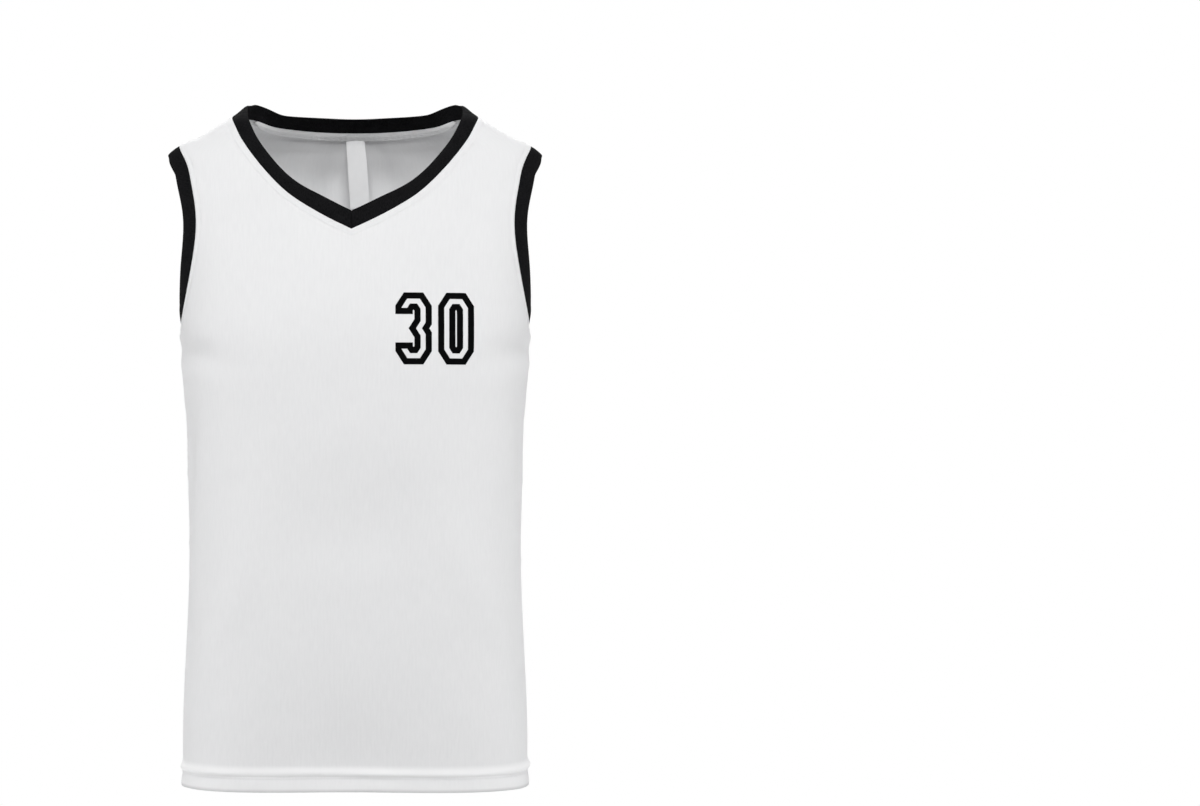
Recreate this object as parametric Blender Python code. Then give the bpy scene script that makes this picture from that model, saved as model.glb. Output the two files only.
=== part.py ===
"""Sleeveless V-neck basketball jersey, filled out as it hangs on a wearer.

Metres, +Z up, the front faces -Y and +X is the wearer's left.  The origin lies midway between
the wearer's shoulders, at the height where the straps rest, and the hem hangs below it.

The garment's form is a stack of level sections (SECTIONS) joined by smooth curves.  A place on
it has two coordinates: its turn round the body (0 centre front, 1 left side, 2 centre back,
3 or -1 right side) and its height above the hem.  Every cut edge is drawn on that form, each
panel is a grid of places between its edges, and the ribbed bands grow out of the panels' edges.
"""
import math

import bpy
import numpy as np

MM = 0.001

# Driving sizes
SHOULDER_HEIGHT = 697 * MM     # the origin above the hem
CLOTH_WALL = 1.3 * MM          # knitted panels
HEM_WALL = 2.6 * MM            # the same cloth turned up once
HEM_DEPTH = 25 * MM
SEAM_GAP = 0.3 * MM            # between neighbouring pieces
BAND_WALL = 2.2 * MM           # doubled ribbing
BAND_RISE = -0.3 * MM          # ribbing against the panels' face
NECKBAND_WIDTH = 19 * MM
ARMBAND_WIDTH = 16.5 * MM
NECKBAND_CROWN = (0.8 * MM, 2.6 * MM)   # bulge across the ribbing, at the V and round the back
ARMBAND_CROWN = 1.0 * MM
V_SHIFT = -4 * MM              # the V hangs a little towards the wearer's right
MITRE_REACH = 60 * MM          # stretch each side of the V over which the ribs turn to the mitre
QUARTER_GIRTH = 260 * MM       # side seam to centre line, round the body
TAPE_WIDTH = 10.5 * MM
TAPE_WALL = 1.0 * MM
TAPE_CLEAR = 0.7 * MM          # inside the back panel
TAPE_END = 5                   # columns of the back panel beyond each end of the tape
LABEL_SIZE = (20 * MM, 1.2 * MM, 75 * MM)
LABEL_TILT = math.radians(3.5)          # in the plane of the back, foot to the wearer's left
LABEL_CLEAR = 0.8 * MM                  # in front of the tape's middle
LABEL_BOW = 1.5 * MM                    # forward, at mid length
LABEL_LEAN = 1.0 * MM                   # forward, at the foot
LABEL_CURL = 1.2 * MM                   # its long edges turn back towards the cloth

# Level sections from the hem to the top of the neck, in millimetres: height above the hem,
# half width, y of the side seam or shoulder line, y of the centre front and centre back, and
# squareness of the front and back halves, where 2 is an ellipse.
SECTIONS = (
    # height, half_width, side_y, front_y, back_y, front_square, back_square
    (0.0, 183.5, 0.0, -132.0, 117.0, 3.4, 3.4),
    (60.0, 184.0, 0.0, -131.0, 115.0, 3.2, 3.2),
    (130.0, 181.5, 0.0, -127.0, 111.0, 3.0, 3.0),
    (200.0, 178.5, 0.0, -124.0, 106.0, 2.9, 2.9),
    (270.0, 178.5, 0.0, -123.0, 104.0, 2.8, 2.8),
    (340.0, 180.2, 0.0, -126.0, 107.0, 2.7, 2.7),
    (400.0, 182.0, 0.0, -131.0, 113.0, 2.6, 2.6),
    (450.0, 187.0, 0.0, -134.0, 119.0, 2.6, 2.6),
    (486.0, 187.4, 0.0, -132.5, 122.0, 2.6, 2.5),
    (525.0, 186.5, -2.0, -124.0, 122.0, 2.6, 2.4),
    (560.0, 188.0, -4.0, -113.0, 119.5, 2.6, 2.4),
    (595.0, 191.0, -6.0, -101.0, 115.0, 2.5, 2.3),
    (630.0, 194.0, -9.0, -86.5, 107.5, 2.4, 2.3),
    (658.0, 195.5, -12.0, -72.5, 99.0, 2.3, 2.3),
    (671.0, 194.0, -14.0, -65.5, 94.5, 2.3, 2.3),
    (680.0, 187.0, -15.0, -60.5, 91.5, 2.3, 2.3),
    (686.0, 172.0, -19.0, -57.5, 89.0, 2.4, 2.3),
    (691.8, 159.5, -23.5, -55.0, 86.5, 2.5, 2.3),
    (698.2, 149.0, -26.5, -52.0, 84.0, 2.6, 2.3),
    (704.0, 140.0, -26.0, -48.0, 81.0, 2.7, 2.3),
    (710.0, 131.5, -20.0, -39.0, 76.5, 2.8, 2.2),
    (713.8, 125.0, -6.0, -30.0, 73.5, 2.8, 2.2),
    (716.8, 118.0, 8.5, -20.0, 70.0, 2.8, 2.2),
    (719.5, 109.0, 22.0, -10.0, 66.0, 2.8, 2.2),
)

UNDERARM = 486.0
SHOULDER_TIP = 680.0
NECK_POINT = 710.0

# Left armhole seam from the underarm round the front to the shoulder and back down: distance
# forward of the side line and height, in millimetres.
ARMHOLE = (
    # forward, height
    (0.0, UNDERARM),
    (24.0, 489.0),
    (40.0, 498.0),
    (50.0, 515.0),
    (57.5, 537.0),
    (61.0, 562.0),
    (58.0, 590.0),
    (50.0, 615.0),
    (39.0, 639.0),
    (26.5, 662.0),
    (14.0, 675.5),
    (0.0, SHOULDER_TIP),
    (-16.0, 677.0),
    (-34.0, 669.0),
    (-50.0, 655.0),
    (-62.0, 634.0),
    (-67.5, 605.0),
    (-66.0, 576.0),
    (-59.0, 548.0),
    (-50.0, 524.0),
    (-39.0, 503.0),
    (-22.0, 489.5),
)

# Half of the neckline seam: distance from the centre line and height, in millimetres.
NECKLINE_FRONT = (
    # across, height
    (0.0, 584.3),
    (26.0, 597.0),
    (45.5, 608.0),
    (66.5, 622.0),
    (87.5, 642.0),
    (102.0, 659.0),
    (113.2, 674.0),
    (124.6, 693.0),
    (131.5, NECK_POINT),
)
NECKLINE_BACK = (
    # across, height
    (0.0, 705.8),
    (33.0, 706.2),
    (58.0, 707.4),
    (81.0, 709.0),
    (95.0, 710.6),
    (107.0, 713.2),
    (116.0, 714.0),
    (125.0, 712.6),
    (131.5, NECK_POINT),
)

# How far the neckband leans out of the cloth's slope, along the half loop from the V to the
# middle of the back, in degrees, and how much of its width it keeps where it is stretched
# over the shoulders; up and outward is positive.
NECKBAND_LEAN = (
    # share_of_half_loop, lean, share_of_width
    (0.0, 0.0, 1.0),
    (0.12, -4.0, 1.0),
    (0.26, -16.0, 0.88),
    (0.40, -16.0, 0.86),
    (0.48, -12.0, 0.88),
    (0.55, -7.0, 0.91),
    (0.61, -10.0, 0.90),
    (0.67, -10.0, 0.88),
    (0.73, -12.0, 0.86),
    (0.80, -8.0, 0.93),
    (0.88, -4.0, 0.95),
    (1.0, -2.0, 0.94),
)

# How far the armbands gape, from the shoulder tip down to the underarm
ARMBAND_LEAN = (
    # share_of_the_way_down, lean
    (0.0, 1.0),
    (0.05, 4.0),
    (0.10, 9.0),
    (0.17, 13.0),
    (0.26, 11.0),
    (0.36, 10.0),
    (0.50, 13.0),
    (0.65, 15.0),
    (0.80, 11.0),
    (0.90, 6.0),
    (1.0, 0.0),
)

# Soft folds of the hanging cloth: place of the middle (turn, height), slope from level,
# half length, half width and rise (a hollow is negative), in millimetres and degrees.
FOLDS = (
    # turn, height, slope, half_length, half_width, rise
    (-0.73, 461.0, -12.0, 64.0, 16.0, -7.0),    # under the right arm, in front
    (0.74, 463.0, 12.0, 62.0, 16.0, -7.0),      # under the left arm, in front
    (-0.97, 475.0, -5.0, 36.0, 9.0, 3.4),       # above those hollows, at the side seams
    (0.97, 475.0, 5.0, 36.0, 9.0, 3.4),
    (-0.45, 205.0, 68.0, 95.0, 24.0, 4.0),      # from the belly down to the right hip
    (0.44, 212.0, -66.0, 92.0, 24.0, 4.0),      # and to the left hip
    (-0.80, 335.0, 80.0, 66.0, 24.0, -6.0),     # hollows along the waist
    (0.80, 330.0, -82.0, 68.0, 24.0, -6.0),
    (-0.02, 268.0, 0.0, 62.0, 36.0, -3.0),      # hollow under the chest
    (0.00, 356.0, 0.0, 80.0, 38.0, 3.0),        # and the fullness above it
    (-0.03, 20.0, 3.0, 92.0, 80.0, -16.5),      # hollow above the hem, in front
    (1.30, 458.0, 14.0, 54.0, 17.0, -6.0),      # under the left arm, behind
    (2.71, 456.0, -14.0, 56.0, 17.0, -6.0),     # under the right arm, behind
    (1.60, 205.0, 62.0, 88.0, 25.0, 3.5),       # from the small of the back to the left hip
    (2.42, 198.0, -64.0, 92.0, 25.0, 3.5),      # and to the right hip
    (1.24, 330.0, 82.0, 68.0, 24.0, -6.0),      # hollows along the waist, behind
    (2.77, 326.0, -80.0, 70.0, 24.0, -6.0),
    (2.00, 362.0, 0.0, 80.0, 38.0, 3.0),        # fullness of the lower back
    (2.00, 657.0, 0.0, 75.0, 26.0, 5.0),        # and of the upper back, below the neck
    (2.02, 24.0, -3.0, 94.0, 80.0, -16.5),      # hollow above the hem, behind
)

# Rounded outline of the doubled ribbing, from the seam over the loose edge and back
BAND_OUTLINE = (
    # share_of_width, share_of_wall, share_of_crown
    (0.0, 0.0, 0.0),
    (0.30, 0.0, 0.8),
    (0.62, 0.0, 1.0),
    (0.90, 0.06, 0.72),
    (0.985, 0.28, 0.5),
    (0.985, 0.72, 0.5),
    (0.90, 0.94, 0.72),
    (0.45, 1.0, 0.9),
    (0.0, 1.0, 0.0),
)

# Grid lines of each half panel
COLUMNS = 16                   # centre line to side
SIDE_ROWS = (0.0, 12.0, 24.4, 25.6, 48.0, 78.0, 110.0, 145.0, 182.0, 220.0, 258.0, 296.0,
             332.0, 366.0, 398.0, 424.0, 444.0, 460.0, 473.0, UNDERARM)
ARMHOLE_ROWS = 14
SHOULDER_ROWS = 4
ROW_SWING = 2.0                # how late a row swings to the side's height
EASED_FROM = 10                # the row from which the grid is eased, and the rows it takes
EASED_OVER = 6
EASING_ROUNDS = 24
SHARE_STEPS = 48               # for measuring round a section

LABEL_ROWS = 8
LABEL_COLUMNS = 4
CREASE = math.radians(50)      # edges sharper than this are shaded as edges

# Colours and finishes: linear red, green, blue and roughness
FINISHES = {
    "white_knit": ((0.84, 0.84, 0.85), 0.75),
    "black_rib": ((0.012, 0.012, 0.013), 0.80),
    "white_tape": ((0.80, 0.80, 0.81), 0.80),
    "woven_label": ((0.74, 0.74, 0.75), 0.60),
}


def smooth_curve(knots, values):
    """Natural cubic spline through a row of values at each knot, as a function of the knot."""
    knots = np.asarray(knots, float)
    values = np.asarray(values, float)
    step = np.diff(knots)
    slope = np.diff(values, axis=0) / step[:, None]
    count = len(knots)
    matrix = np.eye(count)
    target = np.zeros_like(values)
    for i in range(1, count - 1):
        matrix[i, i - 1:i + 2] = step[i - 1], 2 * (step[i - 1] + step[i]), step[i]
        target[i] = 6 * (slope[i] - slope[i - 1])
    bend = np.linalg.solve(matrix, target)

    def curve(at):
        at = np.clip(np.asarray(at, float), knots[0], knots[-1])
        i = np.clip(np.searchsorted(knots, at, side="right") - 1, 0, count - 2)
        width = step[i][..., None]
        after = (at - knots[i])[..., None] / width
        before = 1 - after
        sag = (before ** 3 - before) * bend[i] + (after ** 3 - after) * bend[i + 1]
        return before * values[i] + after * values[i + 1] + sag * width ** 2 / 6

    return curve


def chord_knots(points):
    """Distance along the polyline through the points."""
    gaps = np.linalg.norm(np.diff(points, axis=0), axis=1)
    return np.concatenate(([0.0], np.cumsum(gaps)))


# Sections as smooth functions of a station, the distance along the stack of sections
SECTION_TABLE = np.array(SECTIONS)
SECTION_STATIONS = chord_knots(SECTION_TABLE[:, :2])
SECTION_CURVE = smooth_curve(SECTION_STATIONS, SECTION_TABLE)
FINE_STATIONS = np.linspace(0.0, SECTION_STATIONS[-1], 4000)
FINE_HEIGHTS = SECTION_CURVE(FINE_STATIONS)[:, 0]


def station_at(height):
    """Station of a height in millimetres."""
    return np.interp(height, FINE_HEIGHTS, FINE_STATIONS)


def smooth_form(turn, station):
    """Points of the form before its folds, in metres."""
    section = np.moveaxis(SECTION_CURVE(station), -1, 0)
    height, half_width, side_y, front_y, back_y, front_square, back_square = section
    across = np.sin(turn * math.pi / 2)
    ahead = np.cos(turn * math.pi / 2)
    power = np.where(ahead > 0, front_square, back_square)
    radius = (np.abs(across) ** power + np.abs(ahead) ** power) ** (1 / power)
    depth = np.where(ahead > 0, side_y - front_y, back_y - side_y)
    x = half_width * across / radius
    y = side_y - depth * ahead / radius
    return np.stack((x * MM, y * MM, height * MM - SHOULDER_HEIGHT), axis=-1)


def turn_at_depth(forward, station):
    """Turn of a place on the left that lies forward of the side line (behind it if negative)."""
    _, _, side_y, front_y, back_y, *squares = np.moveaxis(SECTION_CURVE(station), -1, 0)
    depth = np.where(forward > 0, side_y - front_y, back_y - side_y)
    power = np.where(forward > 0, *squares)
    ahead = np.clip(forward / depth, -1, 1)
    across = (1 - np.abs(ahead) ** power) ** (1 / power)
    return np.arctan2(across, ahead) / (math.pi / 2)


def turn_at_width(across, station, behind=False):
    """Turn from the centre front or back of a place at a distance from the centre line."""
    section = np.moveaxis(SECTION_CURVE(station), -1, 0)
    half_width, power = section[1], section[6 if behind else 5]
    share = np.clip(across / half_width, -1, 1)
    ahead = (1 - np.abs(share) ** power) ** (1 / power)
    return np.arctan2(share, ahead) / (math.pi / 2)


def fold_rise(turn, station):
    """Rise of the cloth's soft folds above the form, in metres."""
    height = SECTION_CURVE(station)[..., 0]
    rise = np.zeros(np.shape(height))
    for middle, level, slope, half_length, half_width, peak in FOLDS:
        round_body = ((turn - middle + 2) % 4 - 2) * QUARTER_GIRTH / MM
        up = height - level
        tilt = math.radians(slope)
        along = round_body * math.cos(tilt) + up * math.sin(tilt)
        aside = up * math.cos(tilt) - round_body * math.sin(tilt)
        rise = rise + peak * np.exp(-(along / half_length) ** 2 - (aside / half_width) ** 2)
    return rise * MM


def unit(vectors):
    return vectors / np.linalg.norm(vectors, axis=-1, keepdims=True)


def slopes_to_normal(surface, turn, station):
    """Outward unit normals of a surface given as a function of turn and station."""
    turn_step = 2e-4
    station_step = 0.05
    low = np.maximum(station - station_step, 0.0)
    high = np.minimum(station + station_step, SECTION_STATIONS[-1])
    round_body = surface(turn + turn_step, station) - surface(turn - turn_step, station)
    upward = surface(turn, high) - surface(turn, low)
    return unit(np.cross(round_body, upward))


def cloth(turn, station):
    """Points of the cloth's outer face, folds included."""
    normal = slopes_to_normal(smooth_form, turn, station)
    return smooth_form(turn, station) + normal * fold_rise(turn, station)[..., None]


def cloth_with_normal(turn, station):
    return cloth(turn, station), slopes_to_normal(cloth, turn, station)


def armhole_edge(rows, behind):
    """Turn and station down the left armhole seam from underarm to shoulder tip."""
    table = np.array(ARMHOLE)
    tip = [row[1] for row in ARMHOLE].index(SHOULDER_TIP)
    wrap = 4
    ring = np.concatenate((table[-wrap:], table, table[:wrap + 1]))
    knots = chord_knots(ring)
    seam = smooth_curve(knots, ring)
    if behind:
        shares = np.linspace(knots[wrap + len(table)], knots[wrap + tip], rows + 1)
    else:
        shares = np.linspace(knots[wrap], knots[wrap + tip], rows + 1)
    forward, height = seam(shares).T
    station = station_at(height)
    half_gap = SEAM_GAP / MM / 2
    forward = np.minimum(forward, -half_gap) if behind else np.maximum(forward, half_gap)
    return np.stack((turn_at_depth(forward, station), station), axis=-1)


def straight_edge(heights, behind):
    """Turn and station up the left side line, half a seam gap in front of it or behind it."""
    station = station_at(np.asarray(heights))
    half_gap = np.full(len(station), SEAM_GAP / MM / 2)
    return np.stack((turn_at_depth(-half_gap if behind else half_gap, station), station), axis=-1)


def side_edge(behind):
    """The left edge of a panel: side seam, armhole and shoulder seam."""
    side = straight_edge(SIDE_ROWS, behind)
    armhole = armhole_edge(ARMHOLE_ROWS, behind)
    shoulder = straight_edge(np.linspace(SHOULDER_TIP, NECK_POINT, SHOULDER_ROWS + 1), behind)
    return np.concatenate((side[:-1], armhole[:-1], shoulder))


def neck_edge(behind):
    """The left half of a panel's neckline, from the centre line to the shoulder seam."""
    table = np.array(NECKLINE_BACK if behind else NECKLINE_FRONT)
    knots = chord_knots(table)
    across, height = smooth_curve(knots, table)(np.linspace(0, knots[-1], COLUMNS + 1)).T
    station = station_at(height)
    turn = turn_at_width(across, station, behind)
    if behind:
        turn = 2 - turn
    edge = np.stack((turn, station), axis=-1)
    edge[-1] = straight_edge([NECK_POINT], behind)[0]
    return edge


def quarter_shares(station, behind):
    """Steps of turn from the centre line to the side, and the share of the way round at each."""
    steps = np.linspace(0, 1, SHARE_STEPS + 1)
    turn, level = np.broadcast_arrays(2 - steps if behind else steps, np.reshape(station, (-1, 1)))
    gaps = np.linalg.norm(np.diff(smooth_form(turn, level), axis=1), axis=2)
    run = np.concatenate((np.zeros((len(level), 1)), np.cumsum(gaps, axis=1)), axis=1)
    return steps, run / run[:, -1:]


def turns_to_shares(edge, behind):
    """The edge with its turns replaced by shares of the way from the centre line to the side."""
    steps, shares = quarter_shares(edge[:, 1], behind)
    turns = 2 - edge[:, 0] if behind else edge[:, 0]
    found = [np.interp(turn, steps, share) for turn, share in zip(turns, shares)]
    return np.stack((found, edge[:, 1]), axis=-1)


def shares_to_turns(grid, behind):
    """The grid with its shares of the way from the centre line to the side as turns again."""
    flat = grid.reshape(-1, 2)
    steps, shares = quarter_shares(flat[:, 1], behind)
    turns = np.array([np.interp(at, share, steps) for at, share in zip(flat[:, 0], shares)])
    turns = 2 - turns if behind else turns
    return np.stack((turns, flat[:, 1]), axis=-1).reshape(grid.shape)


def half_panel(behind):
    """Grid of turns and stations between the edges of the left half of a panel (rows, columns).

    Rows run level at the hem and swing up towards the shoulder as they near the neckline.
    """
    side = side_edge(behind)
    run = chord_knots(cloth(side[:, 0], side[:, 1])) / MM
    v = (run / run[-1])[:, None, None]
    side = turns_to_shares(side, behind)
    neck = turns_to_shares(neck_edge(behind), behind)
    middle = run - (run[-1] - neck[0, 1]) * (run / run[-1]) ** 2
    centre = np.stack((np.zeros(len(run)), middle), axis=-1)
    u = np.linspace(0, 1, COLUMNS + 1)
    blend = np.stack((u, u ** ROW_SWING), axis=-1)[None]
    ruled = (1 - blend) * centre[:, None] + blend * side[:, None]
    bow = neck[None] - (1 - blend) * neck[0] - blend * neck[-1]
    grid = ruled + v ** 2 * bow
    # Beside the armhole the rows are eased apart, each place towards the middle of its neighbours.
    ease = np.clip((np.arange(len(run)) - EASED_FROM) / EASED_OVER, 0, 1)[1:-1, None, None]
    for _ in range(EASING_ROUNDS):
        middles = (grid[:-2, 1:-1] + grid[2:, 1:-1] + grid[1:-1, :-2] + grid[1:-1, 2:]) / 4
        grid[1:-1, 1:-1] += ease * (middles - grid[1:-1, 1:-1])
    return shares_to_turns(grid, behind)


def whole_panel(behind):
    """Grid of a whole panel, its columns running anticlockwise seen from above."""
    left = half_panel(behind)
    right = left[:, :0:-1].copy()
    right[..., 0] = (4 if behind else 0) - right[..., 0]
    grid = np.concatenate((right, left), axis=1)
    if behind:
        return grid[:, ::-1]
    # The V leans aside, less and less towards the shoulders and the hem.
    lean = turn_at_width(V_SHIFT / MM, grid[-1, COLUMNS, 1])
    across = 1 - np.abs(np.linspace(-1, 1, 2 * COLUMNS + 1))
    upward = np.linspace(0, 1, len(grid)) ** 4
    grid[..., 0] += lean * upward[:, None] * across[None, :]
    return grid


def wall_thickness(station):
    height = SECTION_CURVE(station)[..., 0] * MM
    return np.where(height < HEM_DEPTH, HEM_WALL, CLOTH_WALL)


def make_material(name, finish):
    colour, roughness = FINISHES[finish]
    material = bpy.data.materials.new(name + "_" + finish)
    material.use_nodes = True
    shader = material.node_tree.nodes["Principled BSDF"]
    shader.inputs["Base Color"].default_value = (*colour, 1)
    shader.inputs["Roughness"].default_value = roughness
    shader.inputs["Metallic"].default_value = 0
    return material


def add_object(name, points, faces, finish, collection):
    mesh = bpy.data.meshes.new(name)
    mesh.from_pydata([tuple(point) for point in points], [], faces)
    mesh.validate()
    mesh.shade_smooth()
    mesh.set_sharp_from_angle(angle=CREASE)
    mesh.materials.append(make_material(name, finish))
    part = bpy.data.objects.new(name, mesh)
    collection.objects.link(part)
    return part


def sheet_solid(name, outer, inner, finish, collection):
    """Closed wall between two grids of points that lie opposite each other."""
    rows, columns = outer.shape[:2]
    size = rows * columns
    number = np.arange(size).reshape(rows, columns)
    faces = []
    for r in range(rows - 1):
        for c in range(columns - 1):
            a, b = number[r, c], number[r, c + 1]
            d, e = number[r + 1, c + 1], number[r + 1, c]
            faces.append((a, b, d, e))
            faces.append((e + size, d + size, b + size, a + size))
    rim = np.concatenate((number[0, :-1], number[:-1, -1], number[-1, :0:-1], number[:0:-1, 0]))
    for a, b in zip(rim, np.roll(rim, -1)):
        faces.append((b, a, a + size, b + size))
    points = np.concatenate((outer.reshape(-1, 3), inner.reshape(-1, 3)))
    return add_object(name, points, [[int(i) for i in face] for face in faces], finish, collection)


def ring_solid(name, sections, finish, collection):
    """Closed ring swept through sections, each a closed loop with the same number of points."""
    count, around = sections.shape[:2]
    faces = []
    for i in range(count):
        for j in range(around):
            here, there = i * around, (i + 1) % count * around
            k = (j + 1) % around
            faces.append((here + j, there + j, there + k, here + k))
    return add_object(name, sections.reshape(-1, 3), faces, finish, collection)


def panel_faces(grid):
    """Outer points, inner points and normals of a panel."""
    outer, normal = cloth_with_normal(grid[..., 0], grid[..., 1])
    inner = outer - normal * wall_thickness(grid[..., 1])[..., None]
    return outer, inner, normal


def loop_run(loop):
    """Distance of each point along a closed loop, and the loop's length."""
    gaps = np.linalg.norm(np.roll(loop, -1, axis=0) - loop, axis=1)
    return np.cumsum(gaps) - gaps, gaps.sum()


def join_seams(first, second):
    """Closed seam loop from two panel edges; where they meet, halfway between their ends."""
    start = (first[0] + second[-1]) / 2
    end = (first[-1] + second[0]) / 2
    return np.concatenate((start[None], first[1:-1], end[None], second[1:-1]))


def table_curves(table, places):
    """Smooth curve through each further column of a table, read at places along its first."""
    table = np.array(table)
    return smooth_curve(table[:, 0], table[:, 1:])(places).T


def band_sections(seam, normal, width, crown, lean, mitre=None):
    """Sections of a doubled rib band that grows from a seam loop away from the cloth.

    The seam runs so that normal x tangent points away from the cloth.  Beyond its seam the band
    leans out of the cloth's slope by an angle at each point; it may be mitred at one point.
    """
    before = unit(seam - np.roll(seam, 1, axis=0))
    after = unit(np.roll(seam, -1, axis=0) - seam)
    tangent = unit(before + after)
    normal = unit(normal)
    away = unit(np.cross(normal, tangent))
    swing = np.zeros((len(seam), 1))
    stretch = np.ones((len(seam), 1))
    if mitre is not None:
        # Round the V the ribs swing from square across the band to the line of the mitre.
        half_corner = math.acos(float(np.dot(before[mitre], after[mitre]))) / 2
        run, length = loop_run(seam)
        apart = (run - run[mitre] + length / 2) % length - length / 2
        reach = np.clip(1 - np.abs(apart) / MITRE_REACH, 0, 1)
        swing[:, 0] = np.sign(apart) * math.tan(half_corner) * reach
        stretch[mitre] = 1 / math.cos(half_corner)
    loops = []
    for share, wall, bulge in BAND_OUTLINE:
        leant = np.reshape(lean, (-1, 1)) if share > 0 else np.zeros((len(seam), 1))
        out = away * np.cos(leant) + normal * np.sin(leant)
        up = normal * np.cos(leant) - away * np.sin(leant)
        reach = SEAM_GAP + share * (np.reshape(width, (-1, 1)) - SEAM_GAP)
        rise = np.reshape(BAND_RISE - wall * BAND_WALL + bulge * crown, (-1, 1))
        loops.append(seam + (out * stretch + tangent * swing) * reach + up * rise)
    return np.stack(loops, axis=1)


def build_neckband(front, back, collection):
    """The mitred V-neck band, round the top edges of both panels."""
    seam = join_seams(front[0][-1], back[0][-1])
    normal = join_seams(front[2][-1], back[2][-1])
    run, length = loop_run(seam)
    from_v = np.abs((run - run[COLUMNS] + length / 2) % length - length / 2) / (length / 2)
    lean, width = table_curves(NECKBAND_LEAN, from_v)
    crown = NECKBAND_CROWN[0] + (NECKBAND_CROWN[1] - NECKBAND_CROWN[0]) * from_v
    sections = band_sections(seam, normal, NECKBAND_WIDTH * width, crown, np.radians(lean),
                             mitre=COLUMNS)
    ring_solid("neckband", sections, "black_rib", collection)


def build_armband(name, on_left, front, back, collection):
    """The band round one armhole, along the panels' edges between underarm and shoulder tip."""
    low = len(SIDE_ROWS) - 1
    rows = slice(low, low + ARMHOLE_ROWS + 1)
    if on_left:
        edges = [(front[k][rows, -1][::-1], back[k][rows, 0]) for k in (0, 2)]
    else:
        edges = [(front[k][rows, 0], back[k][rows, -1][::-1]) for k in (0, 2)]
    seam, normal = (join_seams(first, second) for first, second in edges)
    height = (seam[:, 2] + SHOULDER_HEIGHT) / MM
    down = np.clip((SHOULDER_TIP - height) / (SHOULDER_TIP - UNDERARM), 0, 1)
    lean, = table_curves(ARMBAND_LEAN, down)
    sections = band_sections(seam, normal, ARMBAND_WIDTH, ARMBAND_CROWN, np.radians(lean))
    ring_solid(name, sections, "black_rib", collection)


def build_neck_tape(back, collection):
    """Tape over the back neck seam, made from the inner points of the back panel."""
    _, inner, normals = back
    reach = COLUMNS - TAPE_END
    columns = slice(COLUMNS - reach, COLUMNS + reach + 1)
    top, below, normal = inner[-1, columns], inner[-2, columns], normals[-1, columns]
    down = unit(below - top) * TAPE_WIDTH
    outer = np.stack([top + down * share - normal * TAPE_CLEAR for share in (1.0, 0.5, 0.04)])
    sheet_solid("neck_tape", outer, outer - normal * TAPE_WALL, "white_tape", collection)
    return outer[0, reach] - normal[reach] * TAPE_WALL / 2


def build_label(top_middle, collection):
    """Woven label, a loop pressed flat, hanging from the lower edge of the tape."""
    width, wall, length = LABEL_SIZE
    share = np.linspace(0, 1, LABEL_ROWS + 1)
    drop = share * length
    ahead = LABEL_CLEAR + LABEL_BOW * np.sin(math.pi * share) + LABEL_LEAN * share
    below = SEAM_GAP + width / 2 * math.sin(LABEL_TILT) + math.cos(LABEL_TILT) * drop
    middle = top_middle + np.stack((math.sin(LABEL_TILT) * drop, -ahead, -below), axis=-1)
    spread = np.linspace(-0.5, 0.5, LABEL_COLUMNS + 1)
    curl = (spread ** 2 - 0.25) * 4 * LABEL_CURL
    aside = spread * width
    cross = np.stack((aside * math.cos(LABEL_TILT), curl + wall / 2, aside * math.sin(LABEL_TILT)),
                     axis=-1)
    outer = (middle[::-1, None] + cross[None])[:, ::-1]
    inner = outer - np.array((0.0, wall, 0.0))
    sheet_solid("label", outer, inner, "woven_label", collection)


def main():
    for item in list(bpy.data.objects):
        bpy.data.objects.remove(item, do_unlink=True)
    collection = bpy.data.collections.new("basketball_jersey")
    bpy.context.scene.collection.children.link(collection)
    front = panel_faces(whole_panel(behind=False))
    back = panel_faces(whole_panel(behind=True))
    sheet_solid("front_panel", front[0], front[1], "white_knit", collection)
    sheet_solid("back_panel", back[0], back[1], "white_knit", collection)
    build_neckband(front, back, collection)
    build_armband("armband_left", True, front, back, collection)
    build_armband("armband_right", False, front, back, collection)
    tape_foot = build_neck_tape(back, collection)
    build_label(tape_foot, collection)


if __name__ == "__main__":
    main()
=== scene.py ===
"""Looks of the basketball jersey: cloth, ribbing, stitches, tape, label and printed numbers.

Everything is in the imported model's frame: +Z up, the front faces -Y, +X is the wearer's left.
The cloth's form is that of the solids, a stack of level sections.  A place on it has two
coordinates: its turn round the body (0 centre front, 1 left side, 2 centre back, 3 or -1 right
side) and its station, the distance along the stack.  Here the form is drawn on a finer grid,
with the creases, seams and stitches that the solids leave out.  Tables are in millimetres.
"""
import math

import bpy
import numpy as np
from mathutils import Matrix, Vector


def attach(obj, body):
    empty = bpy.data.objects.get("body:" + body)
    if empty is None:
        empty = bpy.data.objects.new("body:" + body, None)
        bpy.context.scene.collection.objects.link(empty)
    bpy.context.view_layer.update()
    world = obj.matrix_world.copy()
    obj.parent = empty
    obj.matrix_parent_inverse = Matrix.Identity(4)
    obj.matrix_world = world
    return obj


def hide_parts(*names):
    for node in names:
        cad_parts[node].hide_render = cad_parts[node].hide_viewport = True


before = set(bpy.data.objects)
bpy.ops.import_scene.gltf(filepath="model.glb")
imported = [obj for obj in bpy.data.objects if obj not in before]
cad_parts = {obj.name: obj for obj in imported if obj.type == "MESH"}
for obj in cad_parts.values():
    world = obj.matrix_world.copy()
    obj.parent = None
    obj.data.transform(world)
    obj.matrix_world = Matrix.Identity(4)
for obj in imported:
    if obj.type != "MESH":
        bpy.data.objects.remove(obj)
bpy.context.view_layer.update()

MM = 0.001

# ---- the garment's form

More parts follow.
